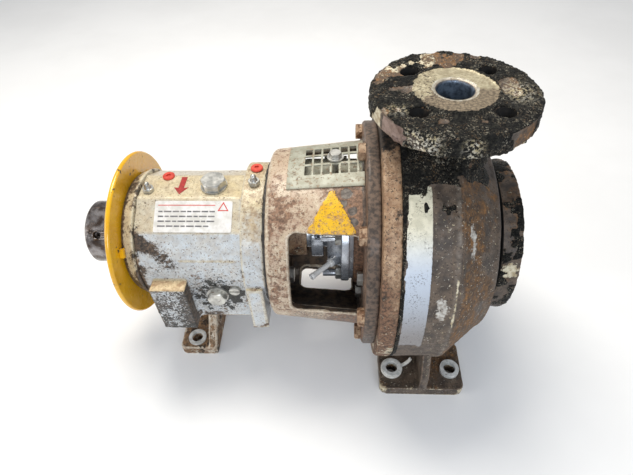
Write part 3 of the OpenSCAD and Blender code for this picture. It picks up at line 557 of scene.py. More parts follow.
def foot_look():
    s = Paint("foot_paint")
    s.base(s.vary(5, (0.10, 0.06, 0.032), (0.30, 0.175, 0.09)), 0.68)
    s.raise_by(s.noise(2.5, 6.0, 0.7), 0.35)
    flake = s.torn("flake", 3, 0.7, 0.06)
    s.layer(flake, s.vary(4, (0.40, 0.29, 0.20), (0.62, 0.55, 0.44)), 0.55, height=0.25)
    s.layer(s.torn("crust", 3, 0.6, 0.08), s.vary(3, (0.02, 0.014, 0.010), DIRT), 0.75, height=0.3)
    return s.finish(0.8)


# ---- looks of sheet metal and small parts
def guard_look():
    s = Paint("guard_paint")
    yellow = s.vary(35, (0.74, 0.37, 0.003), (0.84, 0.46, 0.006), 0.3, 0.7)
    s.base(yellow, s.mixf(s.noise(15), 0.2, 0.34))
    s.raise_by(s.noise(6, 3.0, 0.5), 0.05)
    chips = s.spots(10, 0.635, 0.65)
    s.layer(chips, s.vary(3, (0.03, 0.022, 0.016), (0.10, 0.06, 0.035)), 0.7, height=-0.15)
    s.layer(s.spots(18, 0.64, 0.80, 6.0, 0.75), (0.50, 0.30, 0.06), 0.5)
    return s.finish(0.8, 0.4, 0.12)


def mesh_look():
    s = Paint("mesh_metal")
    s.base(s.vary(12, (0.30, 0.29, 0.22), (0.42, 0.42, 0.34)), s.mixf(s.noise(8), 0.4, 0.6), 0.1)
    s.raise_by(s.noise(2, 4.0, 0.6), 0.05)
    s.layer(s.spots(5, 0.52, 0.62, 6.0, 0.75), s.vary(3, (0.14, 0.10, 0.07), (0.33, 0.24, 0.15)), 0.7)
    return s.finish(0.8)


def metal_look(name, dark, light, rough=0.35, rust=0.0, metal=0.9, tone=(0.20, 0.10, 0.05), size=4.0):
    """Machined or plated metal with grain, smears and rust."""
    s = Paint(name)
    s.base(s.vary(size * 2, dark, light), s.mixf(s.noise(size), rough - 0.1, rough + 0.15), metal)
    s.raise_by(s.noise(1.2, 3.0, 0.6), 0.02)
    rusty = s.spots(size * 1.3, 0.66 - 0.3 * rust, 0.74 - 0.3 * rust)
    s.layer(rusty, s.vary(2, tuple(0.4 * v for v in tone), tone), 0.8, height=0.08)
    return s.finish(0.9)


def plain_look(name, dark, light, rough, size=6.0, coat=0.0, bump=0.08, speck=None):
    """Plastic, rubber, sealant or film, with dirt where a speck colour is given."""
    s = Paint(name)
    s.base(s.vary(size, dark, light), s.mixf(s.noise(size), rough - 0.08, rough + 0.1))
    s.raise_by(s.noise(size * 0.4, 4.0, 0.6), bump)
    if speck:
        s.layer(s.spots(size * 0.8, 0.64, 0.70), speck, 0.7)
    return s.finish(0.8, coat)


def triangle_look():
    s = Paint("warning_film")
    yellow = s.vary(14, (0.66, 0.34, 0.004), (0.80, 0.48, 0.008), 0.3, 0.7)
    s.base(yellow, s.mixf(s.noise(9), 0.3, 0.5))
    s.raise_by(s.noise(3, 4.0, 0.6), 0.1)
    s.layer(s.spots(6, 0.52, 0.60, 6.0, 0.75), s.vary(3, (0.34, 0.17, 0.05), (0.52, 0.31, 0.10)), 0.7)
    s.layer(s.spots(1.5, 0.59, 0.63, 4.0, 0.65), RUST_BROWN, 0.7)
    s.layer(s.torn("wear", 6, 0.5, 0.06), s.vary(3, (0.26, 0.13, 0.05), (0.50, 0.33, 0.16)), 0.75)
    return s.finish(0.8, 0.2)


# ---- volute casing
def find_casing_regions(c):
    """Where the casing's flanges, feet and round body are, from 0 to 1."""
    p, x, y, z = c.p, c.x, c.y, c.z
    c.front_x, _, c.top_z = high("volute_casing")
    c.back_x = high("frame_adapter")[0] + JOINT_RING
    c.grain, c.patch, c.drift = fbm(p, 3, 3, 1), fbm(p, 16, 5, 2), fbm(p, 45, 4, 3)
    c.radial = np.hypot(x, y)                        # from the discharge axis
    c.turn = np.degrees(np.arctan2(-y, -x))          # about it, 0 to the left and 90 to the front
    c.flange = ease(z, c.top_z - 23, c.top_z - 19)
    c.upper = ease(c.nz, 0.4, 0.8) * c.flange
    c.rim = c.flange * fade(c.nz, 0.3, 0.7) * ease(c.radial, 66, 70)
    c.suction = ease(x, c.front_x - 24, c.front_x - 20)
    c.foot = fade(z, 13, 17)
    c.body = (1 - c.flange) * (1 - c.suction) * (1 - c.foot)
    c.inner = ease(-c.outward, 0.0, 0.5) * c.body * fade(x, 20, 30)


def find_bare_metal(c):
    """The machined faces, the chamfer and the two bores, which carry no crust."""
    top_z = c.top_z
    ragged = c.radial + 2.4 * (fbm(c.p, 3, 3, 6) - 0.5)
    c.raised = fade(ragged, 36.4, 37.4) * ease(c.z, top_z - 1.6, top_z - 0.6)
    c.chamfer = fade(c.radial, 18.5, 20.5) * ease(c.z, top_z - 14, top_z - 9)
    c.suction_face = ease(c.nx, 0.5, 0.9) * c.suction * fade(c.r, 50, 52.5)
    discharge_bore = fade(c.radial, 16.6, 17.8) * ease(c.z, AXIS_Z + 60, AXIS_Z + 90)
    c.bore = discharge_bore + fade(c.r, 25.6, 27) * c.suction
    c.machined = c.raised + c.suction_face + c.chamfer
    c.bare = np.clip(c.machined + c.bore, 0, 1)


def find_pale_patches(c):
    """The parts of the discharge flange's top where the tar has come off."""
    top_z = c.top_z
    c.far_edge = ease(c.y - 0.30 * c.x, 26, 52) * fade(c.x, 10, 34)
    c.right_patch = blob(c.p, (54, -4, top_z), (24, 30, 20))
    c.hole_patch = 0.8 * blob(c.p, (-52, -32, top_z), (18, 12, 20))
    c.hole_patch += 0.7 * blob(c.p, (30, 34, top_z), (14, 10, 20))
    c.pale = np.clip(c.far_edge + c.right_patch + c.hole_patch, 0, 1)


def casing_crust(c):
    """Burnt oil on both flanges, on the shoulder below the discharge and beside the joint ring."""
    x, a, turn, back_x = c.x, c.a, c.turn, c.back_x
    crust = c.upper * (0.76 - 0.40 * c.pale)
    rim = 0.42 + 0.45 * fade(turn, 9, 14) + 0.35 * between(turn, 62, 116, 8) - 0.2 * ease(turn, 112, 122)
    shoulder = between(a, 66, 150, 10) * fade(x, 34, 48)
    crust += c.rim * rim + 0.62 * shoulder * c.body
    crust += 0.25 * c.body * between(a, 52, 70, 8) * fade(x, 0, 12)
    chipped = blob(c.p, (c.front_x - 10, -76, AXIS_Z + 26), (22, 22, 22))
    crust += c.suction * (0.60 - 0.58 * chipped - 0.1 * ease(a, 40, 60) - 0.25 * fade(a, -30, -5))
    beside = ease(x, back_x - 1.5, back_x - 0.5) * ease(c.r, 120, 130) * c.body
    crust += 0.50 * fade(x, back_x + 0.5, back_x + 3) * beside
    crust += 0.42 * fade(x, back_x + 2, back_x + 6) * beside * between(a, -34, 62, 6)
    crust += (c.patch - 0.5) * (0.8 + 0.15 * c.upper + 0.5 * c.suction)
    crust += (c.drift - 0.5) * 0.25
    return ease(crust, 0.42, 0.60) * (1 - c.bare)


def crust_height(c, crust):
    lump = np.clip(1.15 - cells(c.p + 6 * (c.grain[:, None] - 0.5), 6.5, 11), 0, 1) ** 1.5
    crumbs = np.clip(1.0 - cells(c.p, 3.0, 31), 0, 1)
    lumps = 1.6 * lump * (0.4 + 0.6 * (c.upper + c.rim))
    return crust * (0.2 + lumps + crumbs * (c.upper + 0.6 * c.rim))


def casing_band(c):
    """Paint left next to the joint ring."""
    back_x = c.back_x
    wander = 5 * (fbm(c.p, 7, 4, 5) - 0.5)
    along = c.x + wander * 0.8 * fade(c.x, back_x + 6, back_x + 12)
    band = between(along, back_x + 2.8, back_x + 25, 0.8)
    return band * between(c.a + wander * 1.4, -8, 64, 2) * c.body * ease(c.r, 100, 110)


def casing_rust(c):
    x, a, body = c.x, c.a, c.body
    rust = 0.22 * body + 0.40 * body * between(x, 8, 26, 6) * ease(a, -60, 10)
    rust += 0.24 * body * between(x, 24, 44, 6) * ease(a, -10, 40)
    rust += 0.30 * body * fade(a, -12, 34) * ease(x, -2, 12)
    rust -= 0.20 * body * between(x, -22, 4, 2) * fade(a, 60, 90)
    rust += 0.24 * c.suction * (2 - between(a, -40, 35, 15))
    rust += 0.34 * c.foot + 0.62 * c.rim * ease(c.turn, 116, 130)
    rust += c.upper * (0.62 + 0.4 * c.far_edge * ease(x, -20, -6))
    return rust + (c.drift - 0.5) * 0.5 + (c.patch - 0.5) * 0.5


def casing_scuff(c):
    """Two rubbed places on the near side, and faint upright scratches."""
    upright = fbm(np.stack([c.x / 3, c.y / 22, c.z / 22], axis=1), 1, 4, 8)
    rubbed = 0.85 * blob(c.p, (17, -97, AXIS_Z + 93), (7, 36, 36))
    rubbed += 0.95 * blob(c.p, (-7, -131, AXIS_Z + 38), (12, 38, 32))
    return c.body * rubbed * (0.18 + 1.2 * fbm(c.p, 7, 4, 9)) + (upright - 0.5) * 0.5 + 0.08


def casing_flake(c):
    """Pale remains of paint beside the ridge, on both flanges and on the feet."""
    p, x, top_z, front_x = c.p, c.x, c.top_z, c.front_x
    relief = c.relief(4)
    flake = 0.66 * c.body * between(x, 2, 5, 1.2) * between(c.a, 4, 30, 5)
    flake += c.foot * (0.14 + 0.5 * ease(relief, 0.02, 0.2))
    top = 0.50 * c.pale * (1 - 0.9 * c.far_edge * ease(x, -14, 0))
    top += 0.85 * blob(p, (8, -66, top_z), (17, 7, 9)) + 0.7 * blob(p, (40, -56, top_z), (9, 6, 8))
    flake += c.upper * top
    flake += c.rim * (1.1 * between(c.turn, 12, 25, 2) + 0.45 * ease(relief, 0.05, 0.3))
    front = 0.70 * blob(p, (front_x - 10, -76, AXIS_Z + 26), (24, 24, 20))
    front += 0.6 * blob(p, (front_x - 12, -20, AXIS_Z + 78), (9, 12, 12))
    return flake + c.suction * front + (c.patch - 0.5) * 0.5


def casing_lace(c):
    lace = c.rim * between(c.turn, 50, 72, 6) + 0.8 * c.rim * between(c.turn, 88, 98, 4)
    return lace + c.upper * (0.8 * c.right_patch + 0.95 * c.hole_patch)


def casing_rim_paint(c):
    place = between(c.turn + 10 * (c.patch - 0.5), 25, 50, 2)
    return 0.95 * c.rim * place * (1 - 0.6 * ease(c.z, c.top_z - 6, c.top_z - 3))


def casing_stain(c):
    """Stain on the near side of the discharge face, and in patches on the suction face."""
    side = ease(0.46 - c.y / 60 + 0.1 * c.x / 40 + (c.patch - 0.5) * 0.9, 0.35, 0.75)
    return side * (1 - c.suction) + c.suction * ease(0.5 * (c.patch + c.drift), 0.36, 0.62)


def casing_lip(c):
    inside = between(c.radial, 15.5, 19.6, 0.4) * ease(c.z, c.top_z - 4.5, c.top_z - 3.0)
    return (inside + between(c.radial, 18.2, 20.4, 0.3)) * c.raised


def casing_gap(c):
    """Painted shade: behind the suction flange, on the body's front face, on the suction flange's back
    face and on the bolt holes' walls.
    """
    x = c.x
    gap = c.body * ease(x, c.front_x - 45, c.front_x - 41) * fade(c.r, 98, 106)
    gap += c.body * ease(x, 20, 26) * ease(c.nx, 0.75, 0.9)
    gap += c.flange * fade(np.abs(c.nz), 0.3, 0.6) * between(c.radial, 41, 62, 1)
    return gap + fade(c.nx, -0.7, -0.3) * c.suction


def casing_speck(c):
    x, a = c.x, c.a
    return 0.9 * c.body * between(x, -18, 50, 6) * between(a, -50, 60, 14) + c.upper + c.foot


def build_casing():
    c = Cast("casing_cast", "volute_casing", VOXEL_LARGE, 3)
    find_casing_regions(c)
    find_bare_metal(c)
    find_pale_patches(c)
    crust, band = casing_crust(c), casing_band(c)
    grain = ((c.grain - 0.5) * 0.45 + (c.patch - 0.5) * 0.5) * (1 - band)
    pits = 0.6 * fade(cells(c.p, 9, 41), 0.10, 0.25) * c.raised * ease(-c.x, 5, 20)
    c.push((grain + band * 0.35) * (1 - c.bare) * (1 - c.inner) + crust_height(c, crust) - pits)
    # tone runs up the band round the shaft and places its painted shade, blue sky reflection and warm
    # light
    c.mask(crust=crust, band=band, rust=casing_rust(c), scuff=casing_scuff(c), flake=casing_flake(c),
           lace=casing_lace(c), stain=casing_stain(c), speck=casing_speck(c), rim=casing_rim_paint(c),
           lip=casing_lip(c), gap=casing_gap(c), machined=c.machined, bore=c.bore, tone=(c.a + 8) / 71,
           edge=ease(c.relief(5), 0.10, 0.40) * (1 - crust) * 0.7 * (1 - band),
           # ridge is where the painted highlight runs along the casing
           ridge=c.body * between(c.x, 1.0, 4.6, 0.7) * between(c.a, -60, 70, 10),
           ring=0.5 + 0.5 * np.sin(c.radial * 2 * math.pi / TURNED_GROOVE),
           pitted=ease(-c.x + 8 * (c.patch - 0.5), 4, 22) * fade(c.radial, 34, 40))
    c.done(casing_look())


# ---- other castings
def build_cover():
    c = Cast("casing_cover_cast", "casing_cover", VOXEL_COVER, 3)
    p, a = c.p, c.a
    patch, drift = fbm(p, 12, 5, 12), fbm(p, 40, 3, 13)
    outer = ease(c.r, 100, 120)
    rust = 0.35 + 0.48 * fade(a, 4, 46) + (drift - 0.5) * 0.6 + (patch - 0.5) * 0.4 + (1 - outer) * 0.2
    flake = outer * (0.16 + 0.24 * fade(a, -10, 25)) + (patch - 0.5) * 0.6
    crust = outer * (0.30 + 0.45 * ease(a, 60, 100) * fade(a, 150, 175)) + (patch - 0.5) * 0.5
    c.push(((fbm(p, 3, 3, 14) - 0.5) * 0.5 + (patch - 0.5) * 0.8) * outer)
    c.mask(rust=rust, flake=flake, crust=crust)
    c.done(RING)


def bare_patches(c, fine):
    """Four places above the window where the lantern's paint is gone."""
    bare = np.zeros(len(c.p))
    for at_x, at_angle, size in ((-94, 67, 6.5), (-96, 61, 4.5), (-88, 57, 5), (-87, 51, 5.5)):
        arc = np.radians(c.a - at_angle) * c.r
        away = np.hypot(c.x - at_x, arc) + 3 * (fine - 0.5)
        bare = np.maximum(bare, fade(away, 0.5 * size, 1.25 * size))
    return bare


def build_lantern():
    c = Cast("lantern_cast", "frame_adapter", VOXEL_LARGE, 3)
    p, x, a, outward = c.p, c.x, c.a, c.outward
    joint_x = high("frame_adapter")[0]
    patch, drift, fine = fbm(p, 18, 5, 21), fbm(p, 42, 4, 22), fbm(p, 5, 4, 23)
    relief = c.relief(5)
    flange = ease(x, joint_x - 13.5, joint_x - 12.5)
    # inside marks the lantern's inner faces, which take painted shade
    inside = ease(-outward, -0.25, 0.2) * fade(x, joint_x - 14, joint_x - 12) * ease(x, -172, -168)
    inside += ease(-outward, 0.2, 0.6)
    rust = 0.60 + 0.22 * ease(x, -130, -80) + 0.14 * between(a, 45, 115, 15) + 0.10 * fade(a, 0, 40)
    rust += (drift - 0.5) * 0.5 + 0.35 * flange + 0.12 * fade(a, -60, -10)
    speckle = fade(a, -16, -6) * ease(outward, 0.2, 0.6) * ease(x, -160, -140)
    bare = bare_patches(c, fine) * ease(outward, 0.5, 0.8) * (1 - flange)
    edge = ease(relief + 0.15 * (fine - 0.5), 0.12, 0.35) * (1 - flange)
    grime = 0.75 * flange + 0.5 * ease(x, -84, -76) + (patch - 0.5) * 0.7 + ease(-relief, 0.1, 0.35) * 0.4
    grime *= ease(outward, -0.3, 0.3)
    c.push((fine - 0.5) * 0.25 + (patch - 0.5) * 0.5 - bare * 0.3)
    c.mask(rust=rust, bare=bare, inside=inside, grime=grime, edge=edge, speckle=speckle)
    c.done(lantern_look())


def find_housing_regions(c):
    """Where the bearing housing's top, sides, side blocks and flange end are, from 0 to 1."""
    x, z, up = c.x, c.z, c.nz
    c.lo_x, c.hi_x = low("bearing_housing")[0], high("bearing_housing")[0]
    c.patch, c.drift, c.fine = fbm(c.p, 14, 5, 31), fbm(c.p, 40, 4, 32), fbm(c.p, 4, 4, 33)
    c.bulge = c.relief(5)
    # top is where the face looks up: it places the painted warm top light, and more dust
    c.top = ease(up + 0.12 * (c.drift - 0.5), 0.42, 0.99)
    c.side = fade(up, 0.2, 0.6)
    c.block = ease(np.abs(c.y), 72, 76) * between(x, c.lo_x + 8, c.lo_x + 54, 2) * fade(z, 162, 166)
    c.ledge = c.block * ease(up, 0.3, 0.7)
    c.front = ease(-c.ny, 0.3, 0.7)
    c.flange = ease(x, c.hi_x - 26, c.hi_x - 20)
    plug = middle("oil_side_plug")
    c.from_plug = np.hypot(x - plug[0], z - plug[2])
    c.spill = housing_spill(c)


def housing_spill(c):
    """A slanting dark stain on the near side at the drive end, with two wider spots."""
    lo_x = c.lo_x
    away = np.abs(c.z - 205 + 0.62 * (c.x - lo_x)) + 5 * (c.patch - 0.5)
    spill = fade(away, 2, 15) * fade(c.x, lo_x + 34, lo_x + 50) * ease(-c.y, 40, 56)
    spill += 0.62 * blob(c.p, (lo_x + 24, -70, 172), (44, 20, 16))
    return spill + 0.5 * blob(c.p, (lo_x + 6, -56, 200), (16, 16, 14))


# Darker on the spill stain, a patch on the far side, the side blocks and their faces towards the lantern,
# hollows, the drive end and towards the bottom
def housing_grime(c):
    lo_x = c.lo_x
    far_side = blob(c.p, (lo_x + 40, 68, 130), (70, 24, 44))
    grime = 0.60 * np.clip(c.spill + far_side, 0, 1) + 0.30 * (c.block - c.ledge)
    grime += 0.40 * c.block * ease(c.nx, 0.4, 0.8) + 0.30 * ease(-c.bulge, 0.12, 0.4)
    grime += 0.25 * fade(c.x, lo_x + 2, lo_x + 10) + 0.30 * fade(c.z, 96, 112)
    return grime + (c.patch - 0.5) * 0.75


def housing_splat(c):
    """Tar round the side plug, under the level plug, on the block and at the joint."""
    level = middle("oil_level_plug")
    splat = 0.62 * fade(c.from_plug, 12, 40) * c.side + 0.22 * c.block * c.front
    splat += 0.30 * blob(c.p, (level[0], level[1], level[2] - 8), (20, 20, 30))
    splat += 0.26 * c.side * ease(c.hi_x - c.x, 20, 60) * fade(c.z, 100, 165)
    splat += 0.30 * fade(np.abs(c.x - c.hi_x), 0.5, 3.0)
    return splat + (fbm(c.p, 6, 4, 34) - 0.5) * 1.1 - 0.10


def housing_chip(c):
    edges = 0.30 * ease(c.bulge, 0.20, 0.42) * c.side * (1 - c.flange)
    return 0.28 + edges + 0.2 * c.flange * fade(c.z, 88, 104) + (c.patch - 0.5) * 0.5


def housing_facet(c):
    """The edge between the side and the slope that carries the label."""
    line = between(c.z, AXIS_Z + 22.6, AXIS_Z + 25.4, 0.9)
    return line * ease(-c.y, 50, 60) * between(c.x, c.lo_x + 42, c.hi_x - 30, 6)


def housing_dust(c):
    dust = 0.25 + 0.25 * c.top + 0.85 * c.block * ease(c.nz, 0.3, 0.8)
    return dust + 0.45 * c.flange * ease(c.nz, 0.4, 0.8) + 0.3 * (c.drift - 0.3) + 0.55 * housing_facet(c)


def housing_pepper(c):
    pepper = (c.block - c.ledge) * c.front * (0.25 + 0.9 * fbm(c.p, 12, 4, 35))
    return pepper + 0.42 * fade(c.from_plug, 18, 52) * c.side + 0.4 * np.clip(c.spill, 0, 1)


def build_housing():
    c = Cast("bearing_housing_cast", "bearing_housing", VOXEL_LARGE, 4)
    find_housing_regions(c)
    splat = housing_splat(c)
    c.push((c.fine - 0.5) * 0.22 + (c.patch - 0.5) * 0.5 + ease(splat, 0.5, 0.62) * 0.4)
    c.mask(top=c.top, grime=housing_grime(c), splat=splat, chip=housing_chip(c), dust=housing_dust(c),
           ledge=c.ledge, pepper=housing_pepper(c),
           # ridge places the painted highlight on raised edges and the facet edge
           ridge=np.maximum(ease(c.bulge, 0.10, 0.35), 0.8 * housing_facet(c)))
    c.done(HOUSING)


def build_drive_cover():
    c = Cast("drive_cover_cast", "drive_bearing_cover", VOXEL_SMALL, 3)
    patch = fbm(c.p, 10, 5, 41)
    lo_x = low("drive_bearing_cover")[0]
    # Darker low down and at its outer end
    grime = 0.40 + 0.30 * fade(c.a, -10, 40) + 0.50 * fade(c.x, lo_x + 1, lo_x + 6) + (patch - 0.5) * 0.7
    c.push((fbm(c.p, 4, 3, 42) - 0.5) * 0.25 + ease(grime, 0.5, 0.7) * 0.4)
    # top is 0.9 all over, so the whole cover takes mostly the painted warm top light
    c.mask(top=np.full(len(c.x), 0.9), grime=grime, splat=(patch - 0.5) * 0.8 + 0.25,
           chip=0.2 + (patch - 0.5) * 0.5, dust=0.4 + (patch - 0.5))
    c.done(HOUSING)


def build_support():
    c = Cast("support_foot_cast", "support_foot", VOXEL_SMALL, 3)
    patch = fbm(c.p, 9, 5, 51)
    relief = c.relief(4)
    web = ease(c.z, 15, 19)
    flake = 0.34 + 0.42 * ease(relief, 0.05, 0.28) + 0.12 * web + (patch - 0.5) * 0.7
    crust = 0.34 + 0.2 * ease(-relief, 0.05, 0.3) + (fbm(c.p, 14, 4, 52) - 0.5) * 0.7
    c.push((fbm(c.p, 3, 3, 53) - 0.5) * 0.35 + (patch - 0.5) * 0.4)
    c.mask(flake=flake, crust=crust)
    c.done(FOOT)


def build_bearing_nose():
    c = Cast("pump_bearing_cover_cast", "pump_bearing_cover", VOXEL_SMALL, 3)
    patch = fbm(c.p, 9, 5, 61)
    flake = 0.35 + (fbm(c.p, 12, 4, 62) - 0.5) * 0.5
    c.push((patch - 0.5) * 0.4)
    c.mask(rust=0.45 + (patch - 0.5) * 0.8, flake=flake, crust=0.3 + (patch - 0.5) * 0.4)
    c.done(RING)


def build_seam():
    """Squeezed-out black sealant between the bearing housing and the lantern."""
    c = Cast("frame_seal_bead", "frame_gasket", VOXEL_BEAD, 2)
    c.push(ease(c.r, 80, 83) * (0.4 + 2.4 * (fbm(c.p, 7, 4, 71) - 0.45)))
    c.done(plain_look("frame_sealant", (0.012, 0.011, 0.010), (0.05, 0.042, 0.034), 0.55, 5.0, 0.0, 0.3))


# ---- films
def new_piece(name, verts, faces, material, smooth=False):
    """A new fixed piece from points in mm."""
    mesh = bpy.data.meshes.new(name)
    mesh.from_pydata([tuple(v * MM for v in q) for q in verts], [], faces)
    mesh.materials.append(material)
    mesh.polygons.foreach_set("use_smooth", [smooth] * len(mesh.polygons))
    mesh.update()
    ob = add_object(name, mesh)
    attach(ob, "pump_body")
    return ob


def slab(outline, point, thick):
    """A closed thin sheet: outline in (u, v), and point(u, v, lift) gives the place in mm."""
    n = len(outline)
    verts = [point(u, v, 0.0) for u, v in outline] + [point(u, v, thick) for u, v in outline]
    faces = [list(range(n - 1, -1, -1)), list(range(n, 2 * n))]
    faces += [[k, (k + 1) % n, n + (k + 1) % n, n + k] for k in range(n)]
    return verts, faces


def rounded(width, height, corner, cu=0.0, cv=0.0, steps=5):
    """Outline of a rectangle with round corners about (cu, cv)."""
    out = []
    for side_u, side_v, start in ((1, 1, 0), (-1, 1, 90), (-1, -1, 180), (1, -1, 270)):
        u = cu + side_u * (width / 2 - corner)
        v = cv + side_v * (height / 2 - corner)
        for k in range(steps + 1):
            t = math.radians(start + 90 * k / steps)
            out.append((u + corner * math.cos(t), v + corner * math.sin(t)))
    return out


class Print:
    """Raised marks on the label film, gathered into one piece."""

    def __init__(self, point):
        self.point, self.verts, self.faces = point, [], []

    def add(self, outline, thick=0.12):
        verts, faces = slab(outline, lambda u, v, lift: self.point(u, v, LABEL_THICK + lift), thick)
        self.faces += [[len(self.verts) + k for k in face] for face in faces]
        self.verts += verts

    def done(self, name, material):
        new_piece(name, self.verts, self.faces, material)


def label_frame():
    """Place on the sloping facet that carries the label: u along +X, v up the slope."""
    lo, hi = low("label_plate"), high("label_plate")
    centre = Vector((lo + hi) / 2)
    up = Vector((0, hi[1] - lo[1], hi[2] - lo[2])).normalized()
    out = Vector((1, 0, 0)).cross(up).normalized()
    width = hi[0] - lo[0]
    height = math.hypot(hi[1] - lo[1], hi[2] - lo[2]) - 0.8

    def point(u, v, lift):
        return tuple(centre + Vector((1, 0, 0)) * u + up * (v - LABEL_DROP) + out * (lift - 0.3))

    return point, width, height


def label_bars(point, w, h):
    """Rows of plain dashes in place of print."""
    bars = Print(point)
    left = -w / 2 + LABEL_MARGIN
    for row, share in enumerate(ROW_SHARES):
        v = h * (0.16 - 0.155 * row)
        start = left
        part = 0
        while start < left + w * share:
            length = 4.5 + 3.5 * ((row * 5 + part * 3) % 4) / 3
            bars.add(rounded(length, DASH_HEIGHT, 0.3, start + length / 2, v, 2))
            start += length + DASH_GAP
            part += 1
    bars.done("label_bars", plain_look("label_ink", (0.10, 0.10, 0.11), (0.20, 0.19, 0.19), 0.5))


def label_red_marks(point, w, h):
    """A red line, and the outline of an empty triangle in the upper corner."""
    marks = Print(point)
    marks.add(rounded(w * 0.74, 0.8, 0.3, -w * 0.09, h * 0.36, 2))
    cu, cv, radius = w / 2 - 9.5, h / 2 - 7.6, 9.0 * 0.62
    turns = (0, 2 * math.pi / 3, -2 * math.pi / 3)
    corner = [Vector((cu + radius * math.sin(t), cv + radius * math.cos(t))) for t in turns]
    for k in range(3):
        p0, p1 = corner[k], corner[(k + 1) % 3]
        along = (p1 - p0).normalized() * 0.55
        across = Vector((-along.y, along.x)) * 0.9
        ends = (p0 - along + across, p0 - along - across, p1 + along - across, p1 + along + across)
        marks.add([tuple(q) for q in ends], 0.14 + 0.01 * k)
    marks.done("label_red_marks", plain_look("label_red", (0.50, 0.04, 0.03), (0.66, 0.07, 0.05), 0.45))


def build_label():
    point, w, h = label_frame()
    verts, faces = slab(rounded(w, h, 2.0), point, LABEL_THICK)
    dirt = (0.45, 0.36, 0.25)
    white = plain_look("label_film", (0.60, 0.58, 0.54), (0.76, 0.74, 0.72), 0.35, 9.0, 0.2, 0.04, dirt)
    ob = new_piece("label_film_sheet", verts, faces, white)
    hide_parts("label_plate")
    label_bars(point, w, h)
    label_red_marks(point, w, h)


def lantern_radius(x):
    """The lantern's outside is a cone, wide at the casing."""
    back = min(1.0, max(0.0, (LANTERN_WIDE_X - x) / LANTERN_LENGTH))
    return LANTERN_WIDE + (LANTERN_NARROW - LANTERN_WIDE) * back


def triangle_inside(gu, gv):
    """Distance inward from the edges of the triangle, in mm, with its upper point cut off."""
    slope = TRIANGLE_HEIGHT / TRIANGLE_HALF
    tall = TRIANGLE_HEIGHT / 2 + TRIANGLE_MARGIN
    sides = ((tall - gv) / slope - np.abs(gu)) * math.cos(math.atan(1 / slope))
    return np.minimum(np.minimum(gv + TRIANGLE_HEIGHT / 2, sides), TRIANGLE_HEIGHT / 2 - 2.5 - gv)


def build_triangle():
    """Worn yellow film triangle that follows the curve of the lantern."""
    cx = middle("warning_sticker")[0]
    pitch = 0.7 * COARSE
    wide, tall = TRIANGLE_HALF + TRIANGLE_MARGIN, TRIANGLE_HEIGHT / 2 + TRIANGLE_MARGIN
    nu, nv = int(2 * wide / pitch), int(2 * tall / pitch)
    us, vs = np.linspace(-wide, wide, nu + 1), np.linspace(-tall, tall, nv + 1)
    gu, gv = np.meshgrid(us, vs)
    flat = np.stack([gu.ravel() + 300, gv.ravel(), np.zeros(gu.size)], axis=1)
    rough = fbm(flat, 5, 4, 81).reshape(gu.shape) - 0.5
    keep = triangle_inside(gu, gv) + 2.0 * rough > 0.3
    index, verts, faces, wear = {}, [], [], []

    def vert(i, j):
        if (i, j) not in index:
            index[(i, j)] = len(verts)
            angle = math.radians(TRIANGLE_ANGLE) + vs[i] / LANTERN_NARROW
            q = lantern_radius(cx + us[j]) + 0.55 + 0.25 * float(rough[i, j])
            verts.append((cx + us[j], -q * math.cos(angle), AXIS_Z + q * math.sin(angle)))
            wear.append(0.22 + 0.011 * max(0.0, 2 - vs[i]))
        return index[(i, j)]

    for i in range(nv):
        for j in range(nu):
            if keep[i:i + 2, j:j + 2].all():
                faces.append([vert(i, j), vert(i, j + 1), vert(i + 1, j + 1), vert(i + 1, j)])
    ob = new_piece("warning_triangle", verts, faces, triangle_look(), True)
    layer = ob.data.attributes.new("wear", "FLOAT", "POINT")
    layer.data.foreach_set("value", np.array(wear, np.float32))
    thick = ob.modifiers.new("thick", "SOLIDIFY")
    thick.thickness = 0.5 * MM
    thick.offset = -1
    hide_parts("warning_sticker")


# ---- pieces that keep the CAD mesh
def soft_edges(ob, width):
    weld = ob.modifiers.new("weld", "WELD")
    weld.merge_threshold = WELD
    bevel = ob.modifiers.new("bevel", "BEVEL")
    bevel.width = width * MM
    bevel.segments = 2
    bevel.limit_method = "ANGLE"
    bevel.angle_limit = EDGE_ANGLE
    bevel.harden_normals = False
    bevel.use_clamp_overlap = True


# Dark and light colour, roughness, share of rust, metal, then a rust tone and grain size where given
METALS = {
    "zinc_fasteners": ((0.42, 0.41, 0.38), (0.66, 0.65, 0.60), 0.34, 0.25, 0.75),
    "rusty_fasteners": ((0.28, 0.17, 0.10), (0.48, 0.34, 0.22), 0.6, 0.6, 0.1),
    "stainless": ((0.42, 0.44, 0.47), (0.66, 0.68, 0.72), 0.24, 0.05, 0.6, (0.12, 0.08, 0.05), 7.0),
    # Near white and barely metallic: a painted highlight, so the quench pipe in the lantern's shade shows
    # bright
    "polished_steel": ((0.80, 0.79, 0.76), (0.94, 0.94, 0.93), 0.2, 0.0, 0.12, (0.12, 0.08, 0.05), 7.0),
    "bearing_steel": ((0.55, 0.55, 0.56), (0.74, 0.74, 0.75), 0.18, 0.0, 1.0),
    "cage_brass": ((0.55, 0.40, 0.16), (0.72, 0.56, 0.26), 0.3, 0.0, 1.0),
    "dark_steel": ((0.07, 0.05, 0.04), (0.30, 0.28, 0.28), 0.22, 0.2, 0.75, (0.10, 0.05, 0.025), 6.0),
    "impeller_iron": ((0.22, 0.20, 0.17), (0.40, 0.37, 0.32), 0.5, 0.3, 0.4),
    "plug_silver": ((0.38, 0.38, 0.36), (0.66, 0.65, 0.61), 0.30, 0.1, 0.8),
    "collar_zinc": ((0.52, 0.53, 0.51), (0.82, 0.83, 0.81), 0.42, 0.2, 0.2),
}
